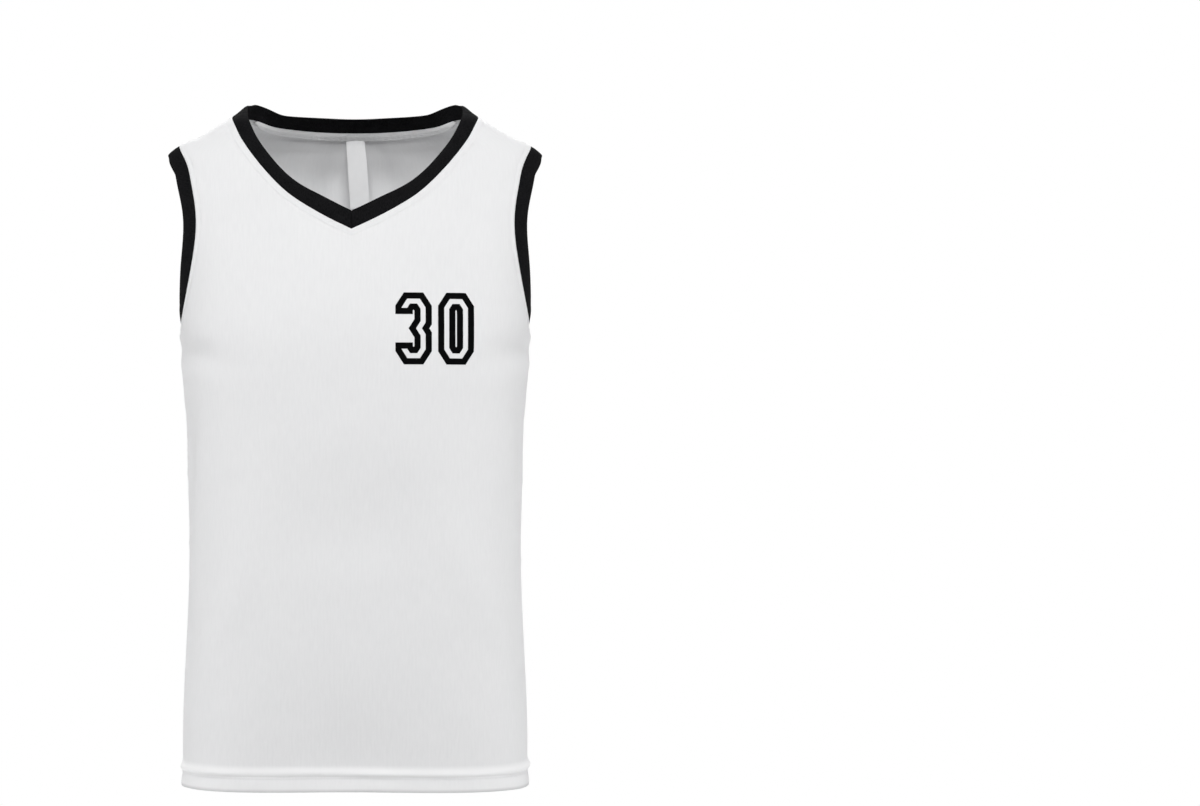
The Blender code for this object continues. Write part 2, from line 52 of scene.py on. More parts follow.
SHOULDER_HEIGHT = 697 * MM     # the origin above the hem
SEAM_GAP = 0.03 * MM           # the drawn pieces all but touch
HEM_DEPTH = 25 * MM
CLOTH = 0.9 * MM               # one layer of knit
HEM_CLOTH = 2.0 * MM           # the knit turned up once
V_SHIFT = -4 * MM              # the V hangs a little towards the wearer's right
QUARTER_GIRTH = 260 * MM       # side seam to centre line, round the body

# Level sections: height above the hem, half width, y of the side line, y of the centre front
# and centre back, and squareness of the front and back halves, where 2 is an ellipse.
SECTIONS = (
    # height, half_width, side_y, front_y, back_y, front_square, back_square
    (0, 183.5, 0, -132, 117, 3.4, 3.4),
    (60, 184, 0, -131, 115, 3.2, 3.2),
    (130, 181.5, 0, -127, 111, 3, 3),
    (200, 178.5, 0, -124, 106, 2.9, 2.9),
    (270, 178.5, 0, -123, 104, 2.8, 2.8),
    (340, 180.2, 0, -126, 107, 2.7, 2.7),
    (400, 182, 0, -131, 113, 2.6, 2.6),
    (450, 187, 0, -134, 119, 2.6, 2.6),
    (486, 187.4, 0, -132.5, 122, 2.6, 2.5),
    (525, 186.5, -2, -124, 122, 2.6, 2.4),
    (560, 188, -4, -113, 119.5, 2.6, 2.4),
    (595, 191, -6, -101, 115, 2.5, 2.3),
    (630, 194, -9, -86.5, 107.5, 2.4, 2.3),
    (658, 195.5, -12, -72.5, 99, 2.3, 2.3),
    (671, 194, -14, -65.5, 94.5, 2.3, 2.3),
    (680, 187, -15, -60.5, 91.5, 2.3, 2.3),
    (686, 172, -19, -57.5, 89, 2.4, 2.3),
    (691.8, 159.5, -23.5, -55, 86.5, 2.5, 2.3),
    (698.2, 149, -26.5, -52, 84, 2.6, 2.3),
    (704, 140, -26, -48, 81, 2.7, 2.3),
    (710, 131.5, -20, -39, 76.5, 2.8, 2.2),
    (713.8, 125, -6, -30, 73.5, 2.8, 2.2),
    (716.8, 118, 8.5, -20, 70, 2.8, 2.2),
    (719.5, 109, 22, -10, 66, 2.8, 2.2),
)

UNDERARM = 486.0
SHOULDER_TIP = 680.0
NECK_POINT = 710.0

# Left armhole seam from the underarm round the front to the shoulder and back down
ARMHOLE = (
    # forward, height
    (0, UNDERARM), (24, 489), (40, 498), (50, 515), (57.5, 537), (61, 562), (58, 590),
    (50, 615), (39, 639), (26.5, 662), (14, 675.5), (0, SHOULDER_TIP), (-16, 677), (-34, 669),
    (-50, 655), (-62, 634), (-67.5, 605), (-66, 576), (-59, 548), (-50, 524), (-39, 503),
    (-22, 489.5),
)

# Half of the neckline seam: distance from the centre line and height
NECKLINE_FRONT = (
    # across, height
    (0, 584.3), (26, 597), (45.5, 608), (66.5, 622), (87.5, 642), (102, 659), (113.2, 674),
    (124.6, 693), (131.5, NECK_POINT),
)
NECKLINE_BACK = (
    # across, height
    (0, 705.8), (33, 706.2), (58, 707.4), (81, 709), (95, 710.6), (107, 713.2), (116, 714),
    (125, 712.6), (131.5, NECK_POINT),
)

# Soft folds of the hanging cloth, as in the solids: place of the middle, slope from level in
# degrees, half length, half width and rise (a hollow is negative).
FOLDS = (
    # turn, height, slope, half_length, half_width, rise
    (-0.73, 461, -12, 64, 16, -7),  # under the right arm, in front
    (0.74, 463, 12, 62, 16, -7),    # under the left arm, in front
    (-0.97, 475, -5, 36, 9, 3.4),   # above those hollows, at the side seams
    (0.97, 475, 5, 36, 9, 3.4),
    (-0.45, 205, 68, 95, 24, 4),    # from the belly down to the right hip
    (0.44, 212, -66, 92, 24, 4),    # and to the left hip
    (-0.80, 335, 80, 66, 24, -6),   # hollows along the waist
    (0.80, 330, -82, 68, 24, -6),
    (-0.02, 268, 0, 62, 36, -3),    # hollow under the chest
    (0.00, 356, 0, 80, 38, 3),      # and the fullness above it
    (-0.03, 20, 3, 92, 80, -16.5),  # hollow above the hem, in front
    (1.30, 458, 14, 54, 17, -6),    # under the left arm, behind
    (2.71, 456, -14, 56, 17, -6),   # under the right arm, behind
    (1.60, 205, 62, 88, 25, 3.5),   # from the small of the back to the left hip
    (2.42, 198, -64, 92, 25, 3.5),  # and to the right hip
    (1.24, 330, 82, 68, 24, -6),    # hollows along the waist, behind
    (2.77, 326, -80, 70, 24, -6),
    (2.00, 362, 0, 80, 38, 3),      # fullness of the lower back
    (2.00, 657, 0, 75, 26, 5),      # and of the upper back, below the neck
    (2.02, 24, -3, 94, 80, -16.5),  # hollow above the hem, behind
)

# Smaller creases that only the looks show, in the same columns
CREASES = (
    # turn, height, slope, half_length, half_width, rise
    (-0.87, 441, -24, 30, 5.5, 0.9),  # fanning out below the right armhole
    (-0.80, 424, -34, 34, 6.5, -0.8),
    (-0.90, 402, -48, 26, 5, 0.6),
    (0.86, 444, 21, 32, 5.5, 0.9),    # and below the left one
    (0.81, 421, 37, 30, 6, -0.8),
    (0.91, 398, 52, 24, 5, 0.6),
    (-0.93, 352, -58, 20, 4, -0.6),   # short ones along the right side seam
    (-0.95, 331, 24, 14, 3.2, 0.5),
    (-0.94, 268, -40, 16, 3.6, -0.55),
    (-0.96, 254, 12, 13, 3, 0.55),
    (-0.93, 212, 35, 18, 4.2, -0.5),
    (-0.95, 121, -30, 17, 3.8, 0.5),
    (0.94, 346, 50, 18, 4, -0.6),     # and along the left one
    (0.95, 322, -20, 13, 3.2, 0.5),
    (0.95, 262, 38, 17, 3.6, -0.5),
    (0.93, 236, -15, 15, 3.4, 0.5),
    (0.95, 148, 28, 18, 4, -0.45),
    (-0.52, 150, 72, 46, 9, 0.9),     # beside the long folds over the hips
    (-0.36, 128, 58, 40, 10, -0.8),
    (0.53, 158, -70, 48, 9, 0.9),
    (0.35, 118, -54, 38, 10, -0.8),
    (-0.10, 330, 62, 52, 13, -0.7),   # faint slants below the chest
    (0.14, 318, -58, 48, 12, -0.7),
    (0.02, 222, 4, 58, 15, 0.8),
    (-1.00, -7, 0, 34, 13, -6),       # the hem's rounded corners
    (1.00, -7, 0, 34, 13, -6),
    (-0.24, 60, 14, 34, 8, 0.6),      # above the hem
    (0.28, 54, -18, 30, 7, 0.6),
    (0.62, 47, 22, 22, 5, -0.5),
    (-0.66, 50, -16, 24, 5.5, -0.5),
    (-0.62, 648, -38, 26, 7, -0.7),   # over the front of the shoulders
    (0.61, 645, 40, 28, 7, -0.7),
    (-0.52, 560, 74, 40, 11, 0.7),
    (0.53, 556, -76, 42, 11, 0.7),
    (1.14, 446, 26, 30, 5.5, 0.9),    # behind, below the left armhole
    (1.20, 420, 40, 32, 6.5, -0.8),
    (2.86, 448, -23, 32, 5.5, 0.9),   # and below the right one
    (2.79, 418, -38, 30, 6, -0.8),
    (1.06, 338, 48, 18, 4, -0.55),    # short ones along the side seams, behind
    (1.05, 262, -30, 16, 3.6, 0.5),
    (1.07, 176, 36, 18, 4, -0.5),
    (2.94, 344, -50, 19, 4, -0.55),
    (2.95, 270, 28, 15, 3.4, 0.5),
    (2.93, 190, -34, 17, 4, -0.5),
    (1.52, 146, 60, 44, 9, 0.9),      # beside the long folds, behind
    (1.68, 122, 52, 38, 10, -0.8),
    (2.50, 142, -62, 46, 9, 0.9),
    (2.33, 118, -50, 38, 10, -0.8),
    (1.90, 352, 64, 56, 14, -0.8),    # down the small of the back
    (2.13, 340, -60, 52, 13, -0.8),
    (1.99, 250, -5, 60, 15, 0.9),
    (1.48, 636, 36, 26, 7, -0.7),     # behind the shoulders
    (2.52, 632, -34, 26, 7, -0.7),
    (1.88, 655, 80, 34, 7, 1.4),      # down from the label, inside and out
    (2.10, 648, -82, 36, 7.5, 1.4),
    (1.76, 640, 66, 34, 8, -1.3),
    (2.22, 636, -68, 34, 8, -1.3),
    (2.00, 694, 0, 38, 13, 3.4),      # where the label pulls below the neck
)

# Grid lines of each half panel, and the places between them where it is read
NECK_KNOTS = 16                # places at which the solids draw half of a neckline
COLUMNS = 32
SIDE_KNOTS = (0, 12.5, 25, 37.5, 50, 65, 80, 95, 110, 127, 145, 163, 182, 201, 220, 239, 258, 277,
              296, 314, 332, 349, 366, 382, 398, 412, 424, 435, 444, 452, 460, 467, 473, 479.5,
              UNDERARM)
ARMHOLE_ROWS = 28
SHOULDER_ROWS = 8
ROW_SWING = 2.0                # how late a row swings to the side's height
EASED_FROM = 16                # the row from which the grid is eased, and the rows it takes
EASED_OVER = 12
EASING_ROUNDS = 96
SHARE_STEPS = 96               # along a quarter of a section, to measure the way round it
SIDE_PLACES = np.concatenate((
    (0, 0.4, 1.2), np.arange(2.5, 14, 1.9), np.arange(14, 20.5, 0.65),
    (21.2, 22, 22.8, 23.6, 24.3, 24.8, 25.2, 25.7, 26.4, 27.2, 28.2, 29.5, 31, 33),
    np.arange(36, 462, 4.4), np.linspace(463, UNDERARM, 9)))
ARMHOLE_PLACES = np.linspace(0, ARMHOLE_ROWS, 71)
SHOULDER_PLACES = np.concatenate((np.arange(0, 4, 0.4), np.arange(4, 6, 0.28),
                                  np.linspace(6, SHOULDER_ROWS, 12)))
EDGE_PLACES = np.array((0.0, 0.14, 0.28, 0.44, 0.64, 0.88, 1.20, 1.60))
INNER_FROM = 2                 # the column from which they are read at even steps
INNER_STEP = 0.4
TURN_STEP = 2e-4               # steps to either side over which a slope is measured
STATION_STEP = 0.05
NECK_PULL = 14 * MM            # how far from the neckline the cloth follows its smoothed curve

# Size, rate and phase of the waves that make the hem uneven round the body
HEM_UNEVEN = ((0.22, 9.1, 1.0), (0.16, 23.0, 0.0))

# Stitched edges, in millimetres: height, half width and rise of the hem's relief
HEM_RIDGE = (19.6, 4.2, 2.6)           # the turned-up edge
HEM_GROOVES = ((16.0, 1.1, -0.8), (13.3, 1.1, -0.5))
HEM_BULGE = (2.2, 9.5, 2.3)
HEM_PUCKERS = (18.0, 7.0, 0.16)
HEM_PUCKER_RATE = 1.1
HEM_PHASE = 0.7
HEM_DRIFT = (9.0, 8.0, 0.25)
HEM_DRIFT_PITCH = 17.0
HEM_WANDER = (0.8, 6.3)                # how far and at what rate the turned-up edge wanders
HEM_DOUBLING = 0.4                     # height over which the drawn cloth doubles
WELT = (2.4, 1.7, 0.80)                # beside the ribbing: distance, half width and rise
NECK_STITCH = 6.8                      # topstitch from the ribbing's seam
ARM_STITCH = 6.2
STITCH_DIP = (1.1, -0.45)              # half width and rise of the cloth under a topstitch
STITCH_SWELL = (3.2, 2.0, 0.3)         # beyond the topstitch: distance, half width and rise
PUCKER_PITCH = 6.4
PUCKER_SWELLS = (19.0, 31.0)           # of the slow waves that make the puckers uneven
PUCKER_REACH = 4.5
PUCKER_RISE = 0.16
NECK_PHASE = 0.4                       # of the puckers along the neck
SIDE_PHASES = (1.1, 2.3)               # and along a panel's first and last column
SEAM_DIP = (1.7, -0.8)                 # side and shoulder seams
SEAM_PUCKERS = (3.0, 5.0, 0.6 * PUCKER_RISE)    # and beside them
SEAM_PUCKER_RATE = 0.7


def smooth_curve(knots, values):
    """Natural cubic spline through a row of values at each knot, as a function of the knot."""
    knots = np.asarray(knots, float)
    values = np.asarray(values, float)
    step = np.diff(knots)
    slope = np.diff(values, axis=0) / step[:, None]
    count = len(knots)
    matrix = np.eye(count)
    target = np.zeros_like(values)
    for i in range(1, count - 1):
        matrix[i, i - 1:i + 2] = step[i - 1], 2 * (step[i - 1] + step[i]), step[i]
        target[i] = 6 * (slope[i] - slope[i - 1])
    bend = np.linalg.solve(matrix, target)

    def curve(at):
        at = np.clip(np.asarray(at, float), knots[0], knots[-1])
        i = np.clip(np.searchsorted(knots, at, side="right") - 1, 0, count - 2)
        width = step[i][..., None]
        after = (at - knots[i])[..., None] / width
        before = 1 - after
        sag = (before ** 3 - before) * bend[i] + (after ** 3 - after) * bend[i + 1]
        return before * values[i] + after * values[i + 1] + sag * width ** 2 / 6

    return curve


def closed(values):
    """The values with the first one again at the end."""
    return np.concatenate((values, values[:1]))


def paired(first, second):
    """Two arrays as one, with both of their values along its last axis."""
    return np.stack(np.broadcast_arrays(first, second), axis=-1)


def chord_knots(points):
    """Distance along the polyline through the points."""
    gaps = np.linalg.norm(np.diff(points, axis=0), axis=1)
    return np.concatenate(([0.0], np.cumsum(gaps)))


SECTION_TABLE = np.array(SECTIONS)
SECTION_STATIONS = chord_knots(SECTION_TABLE[:, :2])
SECTION_CURVE = smooth_curve(SECTION_STATIONS, SECTION_TABLE)
FINE_STATIONS = np.linspace(0.0, SECTION_STATIONS[-1], 4000)
FINE_HEIGHTS = SECTION_CURVE(FINE_STATIONS)[:, 0]


def station_at(height):
    """Station of a height in millimetres."""
    return np.interp(height, FINE_HEIGHTS, FINE_STATIONS)


def section_at(station):
    """The columns of the section table at a station."""
    return np.moveaxis(SECTION_CURVE(station), -1, 0)


def height_at(station):
    """Height of a station in millimetres."""
    return SECTION_CURVE(station)[..., 0]


def smooth_form(turn, station):
    """Points of the form before its folds, in metres."""
    height, half_width, side_y, front_y, back_y, front_square, back_square = section_at(station)
    across = np.sin(turn * math.pi / 2)
    ahead = np.cos(turn * math.pi / 2)
    power = np.where(ahead > 0, front_square, back_square)
    radius = (np.abs(across) ** power + np.abs(ahead) ** power) ** (1 / power)
    depth = np.where(ahead > 0, side_y - front_y, back_y - side_y)
    x = half_width * across / radius
    y = side_y - depth * ahead / radius
    return np.stack((x * MM, y * MM, height * MM - SHOULDER_HEIGHT), axis=-1)


def turn_at_depth(forward, station):
    """Turn of a place on the left that lies forward of the side line (behind it if negative)."""
    _, _, side_y, front_y, back_y, *squares = section_at(station)
    depth = np.where(forward > 0, side_y - front_y, back_y - side_y)
    power = np.where(forward > 0, *squares)
    ahead = np.clip(forward / depth, -1, 1)
    across = (1 - np.abs(ahead) ** power) ** (1 / power)
    return np.arctan2(across, ahead) / (math.pi / 2)


def turn_at_width(across, station, behind=False):
    """Turn from the centre front or back of a place at a distance from the centre line."""
    _, half_width, _, _, _, *squares = section_at(station)
    power = squares[1 if behind else 0]
    share = np.clip(across / half_width, -1, 1)
    ahead = (1 - np.abs(share) ** power) ** (1 / power)
    return np.arctan2(share, ahead) / (math.pi / 2)


def table_rise(table, turn, station):
    """Rise of a table's folds above the form, in metres."""
    height = height_at(station)
    rise = np.zeros(np.shape(height))
    for middle, level, slope, half_length, half_width, peak in table:
        round_body = ((turn - middle + 2) % 4 - 2) * QUARTER_GIRTH / MM
        up = height - level
        tilt = math.radians(slope)
        along = round_body * math.cos(tilt) + up * math.sin(tilt)
        aside = up * math.cos(tilt) - round_body * math.sin(tilt)
        rise = rise + peak * np.exp(-(along / half_length) ** 2 - (aside / half_width) ** 2)
    return rise * MM


def unit(vectors):
    """The vectors at length 1."""
    return vectors / np.linalg.norm(vectors, axis=-1, keepdims=True)


def slopes_to_normal(surface, turn, station):
    """Outward unit normals of a surface given as a function of turn and station."""
    low = np.maximum(station - STATION_STEP, 0.0)
    high = np.minimum(station + STATION_STEP, SECTION_STATIONS[-1])
    round_body = surface(turn + TURN_STEP, station) - surface(turn - TURN_STEP, station)
    upward = surface(turn, high) - surface(turn, low)
    return unit(np.cross(round_body, upward))


def cloth(turn, station):
    """Points of the solids' outer face, folds included."""
    normal = slopes_to_normal(smooth_form, turn, station)
    return smooth_form(turn, station) + normal * table_rise(FOLDS, turn, station)[..., None]


def creased_cloth(turn, station):
    """Points of the cloth's outer face with the smaller creases, and its normals."""
    normal = slopes_to_normal(cloth, turn, station)
    return cloth(turn, station) + normal * table_rise(CREASES, turn, station)[..., None], normal


def armhole_edge(behind):
    """Turn and station down the left armhole seam from underarm to shoulder tip."""
    table = np.array(ARMHOLE)
    tip = [row[1] for row in ARMHOLE].index(SHOULDER_TIP)
    wrap = 4
    ring = np.concatenate((table[-wrap:], table, table[:wrap + 1]))
    knots = chord_knots(ring)
    seam = smooth_curve(knots, ring)
    start = wrap + len(table) if behind else wrap
    forward, height = seam(np.linspace(knots[start], knots[wrap + tip], ARMHOLE_ROWS + 1)).T
    station = station_at(height)
    half_gap = SEAM_GAP / MM / 2
    forward = np.minimum(forward, -half_gap) if behind else np.maximum(forward, half_gap)
    return paired(turn_at_depth(forward, station), station)


def straight_edge(heights, behind):
    """Turn and station up the left side line, half a seam gap in front of it or behind it."""
    station = station_at(np.asarray(heights))
    half_gap = np.full(len(station), SEAM_GAP / MM / 2)
    return paired(turn_at_depth(-half_gap if behind else half_gap, station), station)


def side_edge(behind):
    """The left edge of a panel: side seam, armhole and shoulder seam."""
    side = straight_edge(SIDE_KNOTS, behind)
    armhole = armhole_edge(behind)
    shoulder = straight_edge(np.linspace(SHOULDER_TIP, NECK_POINT, SHOULDER_ROWS + 1), behind)
    return np.concatenate((side[:-1], armhole[:-1], shoulder))


def neck_edge(behind, columns=COLUMNS):
    """The left half of a panel's neckline, from the centre line to the shoulder seam."""
    table = np.array(NECKLINE_BACK if behind else NECKLINE_FRONT)
    knots = chord_knots(table)
    across, height = smooth_curve(knots, table)(np.linspace(0, knots[-1], columns + 1)).T
    station = station_at(height)
    turn = turn_at_width(across, station, behind)
    edge = paired(2 - turn if behind else turn, station)
    edge[-1] = straight_edge([NECK_POINT], behind)[0]
    return edge


def quarter_shares(station, behind):
    """Steps of turn from the centre line to the side, and the share of the way round at each."""
    steps = np.linspace(0, 1, SHARE_STEPS + 1)
    turn, level = np.broadcast_arrays(2 - steps if behind else steps, np.reshape(station, (-1, 1)))
    gaps = np.linalg.norm(np.diff(smooth_form(turn, level), axis=1), axis=2)
    run = np.concatenate((np.zeros((len(level), 1)), np.cumsum(gaps, axis=1)), axis=1)
    return steps, run / run[:, -1:]


def turns_to_shares(edge, behind):
    """The edge with its turns replaced by shares of the way from the centre line to the side."""
    steps, shares = quarter_shares(edge[:, 1], behind)
    turns = 2 - edge[:, 0] if behind else edge[:, 0]
    found = [np.interp(turn, steps, share) for turn, share in zip(turns, shares)]
    return paired(found, edge[:, 1])


def shares_to_turns(grid, behind):
    """The grid with its shares of the way from the centre line to the side as turns again."""
    flat = grid.reshape(-1, 2)
    steps, shares = quarter_shares(flat[:, 1], behind)
    turns = np.array([np.interp(at, share, steps) for at, share in zip(flat[:, 0], shares)])
    return paired(2 - turns if behind else turns, flat[:, 1]).reshape(grid.shape)


def half_panel(behind):
    """Grid of turns and stations between the edges of the left half of a panel."""
    side = side_edge(behind)
    run = chord_knots(cloth(side[:, 0], side[:, 1])) / MM
    v = (run / run[-1])[:, None, None]
    side = turns_to_shares(side, behind)
    neck = turns_to_shares(neck_edge(behind), behind)
    middle = run - (run[-1] - neck[0, 1]) * (run / run[-1]) ** 2
    centre = paired(0.0, middle)
    u = np.linspace(0, 1, COLUMNS + 1)
    blend = paired(u, u ** ROW_SWING)[None]
    ruled = (1 - blend) * centre[:, None] + blend * side[:, None]
    bow = neck[None] - (1 - blend) * neck[0] - blend * neck[-1]
    grid = ruled + v ** 2 * bow
    ease = np.clip((np.arange(len(run)) - EASED_FROM) / EASED_OVER, 0, 1)[1:-1, None, None]
    for _ in range(EASING_ROUNDS):
        middles = (grid[:-2, 1:-1] + grid[2:, 1:-1] + grid[1:-1, :-2] + grid[1:-1, 2:]) / 4
        grid[1:-1, 1:-1] += ease * (middles - grid[1:-1, 1:-1])
    return shares_to_turns(grid, behind)


def whole_panel(behind):
    """Grid of a whole panel, its columns running anticlockwise seen from above."""
    left = half_panel(behind)
    right = left[:, :0:-1].copy()
    right[..., 0] = (4 if behind else 0) - right[..., 0]
    grid = np.concatenate((right, left), axis=1)
    if behind:
        return grid[:, ::-1]
    # The V leans aside, less and less towards the shoulders and the hem.
    lean = turn_at_width(V_SHIFT / MM, grid[-1, COLUMNS, 1])
    across = 1 - np.abs(np.linspace(-1, 1, 2 * COLUMNS + 1))
    upward = np.linspace(0, 1, len(grid)) ** 4
    grid[..., 0] += lean * upward[:, None] * across[None, :]
    return grid


def read_between(grid, stretches):
    """A grid read at other places down its first axis.

    Each stretch is a first and last line, their knots, and the places to read.
    """
    parts = []
    for first, last, knots, places in stretches:
        lines = grid[first:last + 1].reshape(last + 1 - first, -1)
        parts.append(smooth_curve(knots, lines)(places)[:-1])
    parts.append(grid[-1:].reshape(1, -1))
    joined = np.concatenate(parts)
    return joined.reshape((len(joined),) + grid.shape[1:])


def column_stretches():
    """Two halves, denser beside the side edges, that keep the corner at the centre line."""
    half = np.concatenate((EDGE_PLACES, np.arange(INNER_FROM, COLUMNS + 0.01, INNER_STEP)))
    knots = np.arange(COLUMNS + 1)
    return ((0, COLUMNS, knots, half), (COLUMNS, 2 * COLUMNS, knots, COLUMNS - half[::-1]))


def fine_panel(behind):
    """The panel's grid of turns and stations at the fineness that is drawn."""
    low = len(SIDE_KNOTS) - 1
    tip = low + ARMHOLE_ROWS
    rows = (
        (0, low, SIDE_KNOTS, SIDE_PLACES),
        (low, tip, np.arange(ARMHOLE_ROWS + 1), ARMHOLE_PLACES),
        (tip, tip + SHOULDER_ROWS, np.arange(SHOULDER_ROWS + 1), SHOULDER_PLACES),
    )
    grid = read_between(whole_panel(behind), rows)
    return read_between(grid.swapaxes(0, 1), column_stretches()).swapaxes(0, 1)


LOW_ROW = len(SIDE_PLACES) - 1               # the underarm's row in the fine grid
TIP_ROW = LOW_ROW + len(ARMHOLE_PLACES) - 1  # the shoulder tip's row


def bump(distance, profile):
    """A soft ridge or groove: profile is the place, half width and rise in millimetres."""
    place, half_width, rise = profile
    return rise * np.exp(-((distance - place) / half_width) ** 2)


def nearest_on(edge, points):
    """Distance of points from a polyline and the run along it of the nearest place, in mm."""
    flat = points.reshape(-1, 3)
    run = chord_knots(edge)
    square = (flat ** 2).sum(1)[:, None] + (edge ** 2).sum(1)[None] - 2 * flat @ edge.T
    nearest = square.argmin(axis=1)
    best = np.full(len(flat), np.inf)
    along = np.zeros(len(flat))
    for first in (nearest - 1, nearest):
        first = np.clip(first, 0, len(edge) - 2)
        side = edge[first + 1] - edge[first]
        length = np.linalg.norm(side, axis=1)
        share = np.clip(((flat - edge[first]) * side).sum(1) / length ** 2, 0, 1)
        gap = np.linalg.norm(flat - edge[first] - side * share[:, None], axis=1)
        closer = gap < best
        best = np.where(closer, gap, best)
        along = np.where(closer, run[first] + share * length, along)
    shape = points.shape[:-1]
    return best.reshape(shape) / MM, along.reshape(shape) / MM


def puckers(along, phase):
    """Uneven waves along a stitched edge, about -1 to 1."""
    first, second = PUCKER_SWELLS
    slow = np.sin(along / first + phase) + 0.6 * np.sin(along / second - 2 * phase)
    return np.sin(along * 2 * math.pi / PUCKER_PITCH + 1.3 * slow + phase) * (0.7 + 0.3 * slow)


def stitched_edge(distance, along, stitch, phase):
    """Relief beside ribbing: a rolled welt, the dip of the topstitch and its puckers."""
    relief = bump(distance, WELT) + bump(distance, (stitch, *STITCH_DIP))
    relief += bump(distance - stitch, STITCH_SWELL)
    window = np.exp(-((distance - stitch) / PUCKER_REACH) ** 2)
    return relief + PUCKER_RISE * puckers(along, phase) * window


def hem_relief(turn, height):
    """Relief of the turned-up hem, slightly uneven round the body."""
    uneven = 1 + sum(size * np.sin(turn * rate + phase) for size, rate, phase in HEM_UNEVEN)
    wander = HEM_WANDER[0] * np.sin(turn * HEM_WANDER[1])
    ridge = bump(height + wander, HEM_RIDGE) * uneven
    grooves = sum(bump(height, groove) for groove in HEM_GROOVES)
    round_body = turn * QUARTER_GIRTH / MM
    waves = puckers(HEM_PUCKER_RATE * round_body, HEM_PHASE) * bump(height, HEM_PUCKERS)
    drift = np.sin(round_body / HEM_DRIFT_PITCH) * bump(height, HEM_DRIFT)
    return ridge + grooves + bump(height, HEM_BULGE) * uneven + waves + drift


def panel_relief(turn, station, points, behind):
    """Rise of seams and stitched edges above the creased cloth, in metres."""
    relief = hem_relief(turn, height_at(station))
    distance, along = nearest_on(points[-1], points)
    relief += stitched_edge(distance, along, NECK_STITCH, NECK_PHASE + behind)
    for side, phase in zip((0, -1), SIDE_PHASES):
        distance, along = nearest_on(points[LOW_ROW:TIP_ROW + 1, side], points)
        relief += stitched_edge(distance, along, ARM_STITCH, phase + behind)
        for rows in (slice(0, LOW_ROW + 1), slice(TIP_ROW, None)):
            distance, along = nearest_on(points[rows, side], points)
            relief += bump(distance, (0.0, *SEAM_DIP))
            waves = puckers(SEAM_PUCKER_RATE * along, phase)
            relief += waves * bump(distance, SEAM_PUCKERS)
    return relief * MM


def layer_depth(station):
    """Depth of the cloth behind its outer face: doubled below the hem's inner edge."""
    below_edge = HEM_DEPTH - height_at(station) * MM
    turned_up = np.clip(below_edge / (HEM_DOUBLING * MM) + 0.5, 0, 1)
    return CLOTH + (HEM_CLOTH - CLOTH) * turned_up


def neckline_curve():
    """The left half of the whole neckline in space, smooth over the shoulder.

    It is read at shares of the front half (0 to 1) and of the back half (1 to 2).
    """
    front = neck_edge(False, NECK_KNOTS)
    lean = turn_at_width(V_SHIFT / MM, front[0, 1]) * (1 - np.linspace(0, 1, NECK_KNOTS + 1))
    back = neck_edge(True, NECK_KNOTS)[::-1]
    ahead = cloth(front[:, 0] + lean, front[:, 1])
    behind = cloth(back[:, 0], back[:, 1])
    knots = np.concatenate((ahead[:-1], (ahead[-1:] + behind[:1]) / 2, behind[1:]))
    run = chord_knots(knots)
    curve = smooth_curve(run, knots)
    places = np.linspace(0, 2, len(knots))
    return lambda share: curve(np.interp(share, places, run))


def follow_neckline(points, normal, behind):
    """A panel's points and normals, those by its neckline drawn on to the smoothed curve."""
    curve = neckline_curve()
    half = column_stretches()[1][3] / COLUMNS
    left = curve(2 - half if behind else half)
    lean = 0.0 if behind else points[-1, points.shape[1] // 2, 0]
    right = left[::-1] * (-1, 1, 1)
    # The V's lean runs out towards both shoulders.
    right[:, 0] += 2 * lean * (1 - half[::-1])
    edge = np.concatenate((right[:-1], left))
    if behind:
        edge = edge[::-1]
    run = np.cumsum(np.linalg.norm(np.diff(points[::-1], axis=0), axis=-1), axis=0)
    run = np.concatenate((np.zeros((1, points.shape[1])), run))[::-1]
    pull = np.exp(-(run / NECK_PULL) ** 2)[..., None]
    moved = points + (edge - points[-1]) * pull
    slopes = unit(np.cross(np.gradient(moved, axis=1), np.gradient(moved, axis=0)))
    return moved, unit(normal + (slopes - normal) * pull)


def cloth_map(turn, height):
    """Map coordinates in metres: the way round the body and the height above the hem."""
    return paired(turn * QUARTER_GIRTH, height * MM)


class Panel:
    """One cut panel of knit: grids of its outer and inner points, normals and map."""

    def __init__(self, behind):
        turn, station = np.moveaxis(fine_panel(behind), -1, 0)
        points, normal = creased_cloth(turn, station)
        points, self.normal = follow_neckline(points, normal, behind)
        relief = panel_relief(turn, station, points, behind)
        self.outer = points + self.normal * relief[..., None]
        self.inner = self.outer - self.normal * layer_depth(station)[..., None]
        self.map = cloth_map(turn, height_at(station))


# ---- meshes

def new_piece(name, mesh_data, material, crease=50, node=None):
    """A mesh piece that rides on the body, in place of a node of the solids where one is named.

    Its data are points, quads and a map in metres along the cloth.
    """
    points, faces, uv = mesh_data
    mesh = bpy.data.meshes.new(name)
    mesh.from_pydata(points.reshape(-1, 3).tolist(), [], faces.tolist())
    corners = np.empty(len(mesh.loops), dtype=np.int32)
    mesh.loops.foreach_get("vertex_index", corners)
    layer = mesh.uv_layers.new(name="cloth")
    layer.data.foreach_set("uv", uv.reshape(-1, 2)[corners].astype(np.float32).ravel())
    mesh.shade_smooth()
    mesh.set_sharp_from_angle(angle=math.radians(crease))
    mesh.materials.append(material)
    piece = bpy.data.objects.new(name, mesh)
    bpy.context.scene.collection.objects.link(piece)
    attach(piece, "root")
    if node:
        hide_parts(node)
    return piece


def numbered(rows, columns, ring=False):
    """Vertex numbers of a grid of points; in a ring the first column comes again at the end."""
    number = np.arange(rows * columns).reshape(rows, columns)
    return closed(number.T).T if ring else number


def grid_faces(number):
    """Quads of a grid of vertex numbers."""
    return np.stack((number[:-1, :-1], number[:-1, 1:], number[1:, 1:], number[1:, :-1]),
                    axis=-1).reshape(-1, 4)


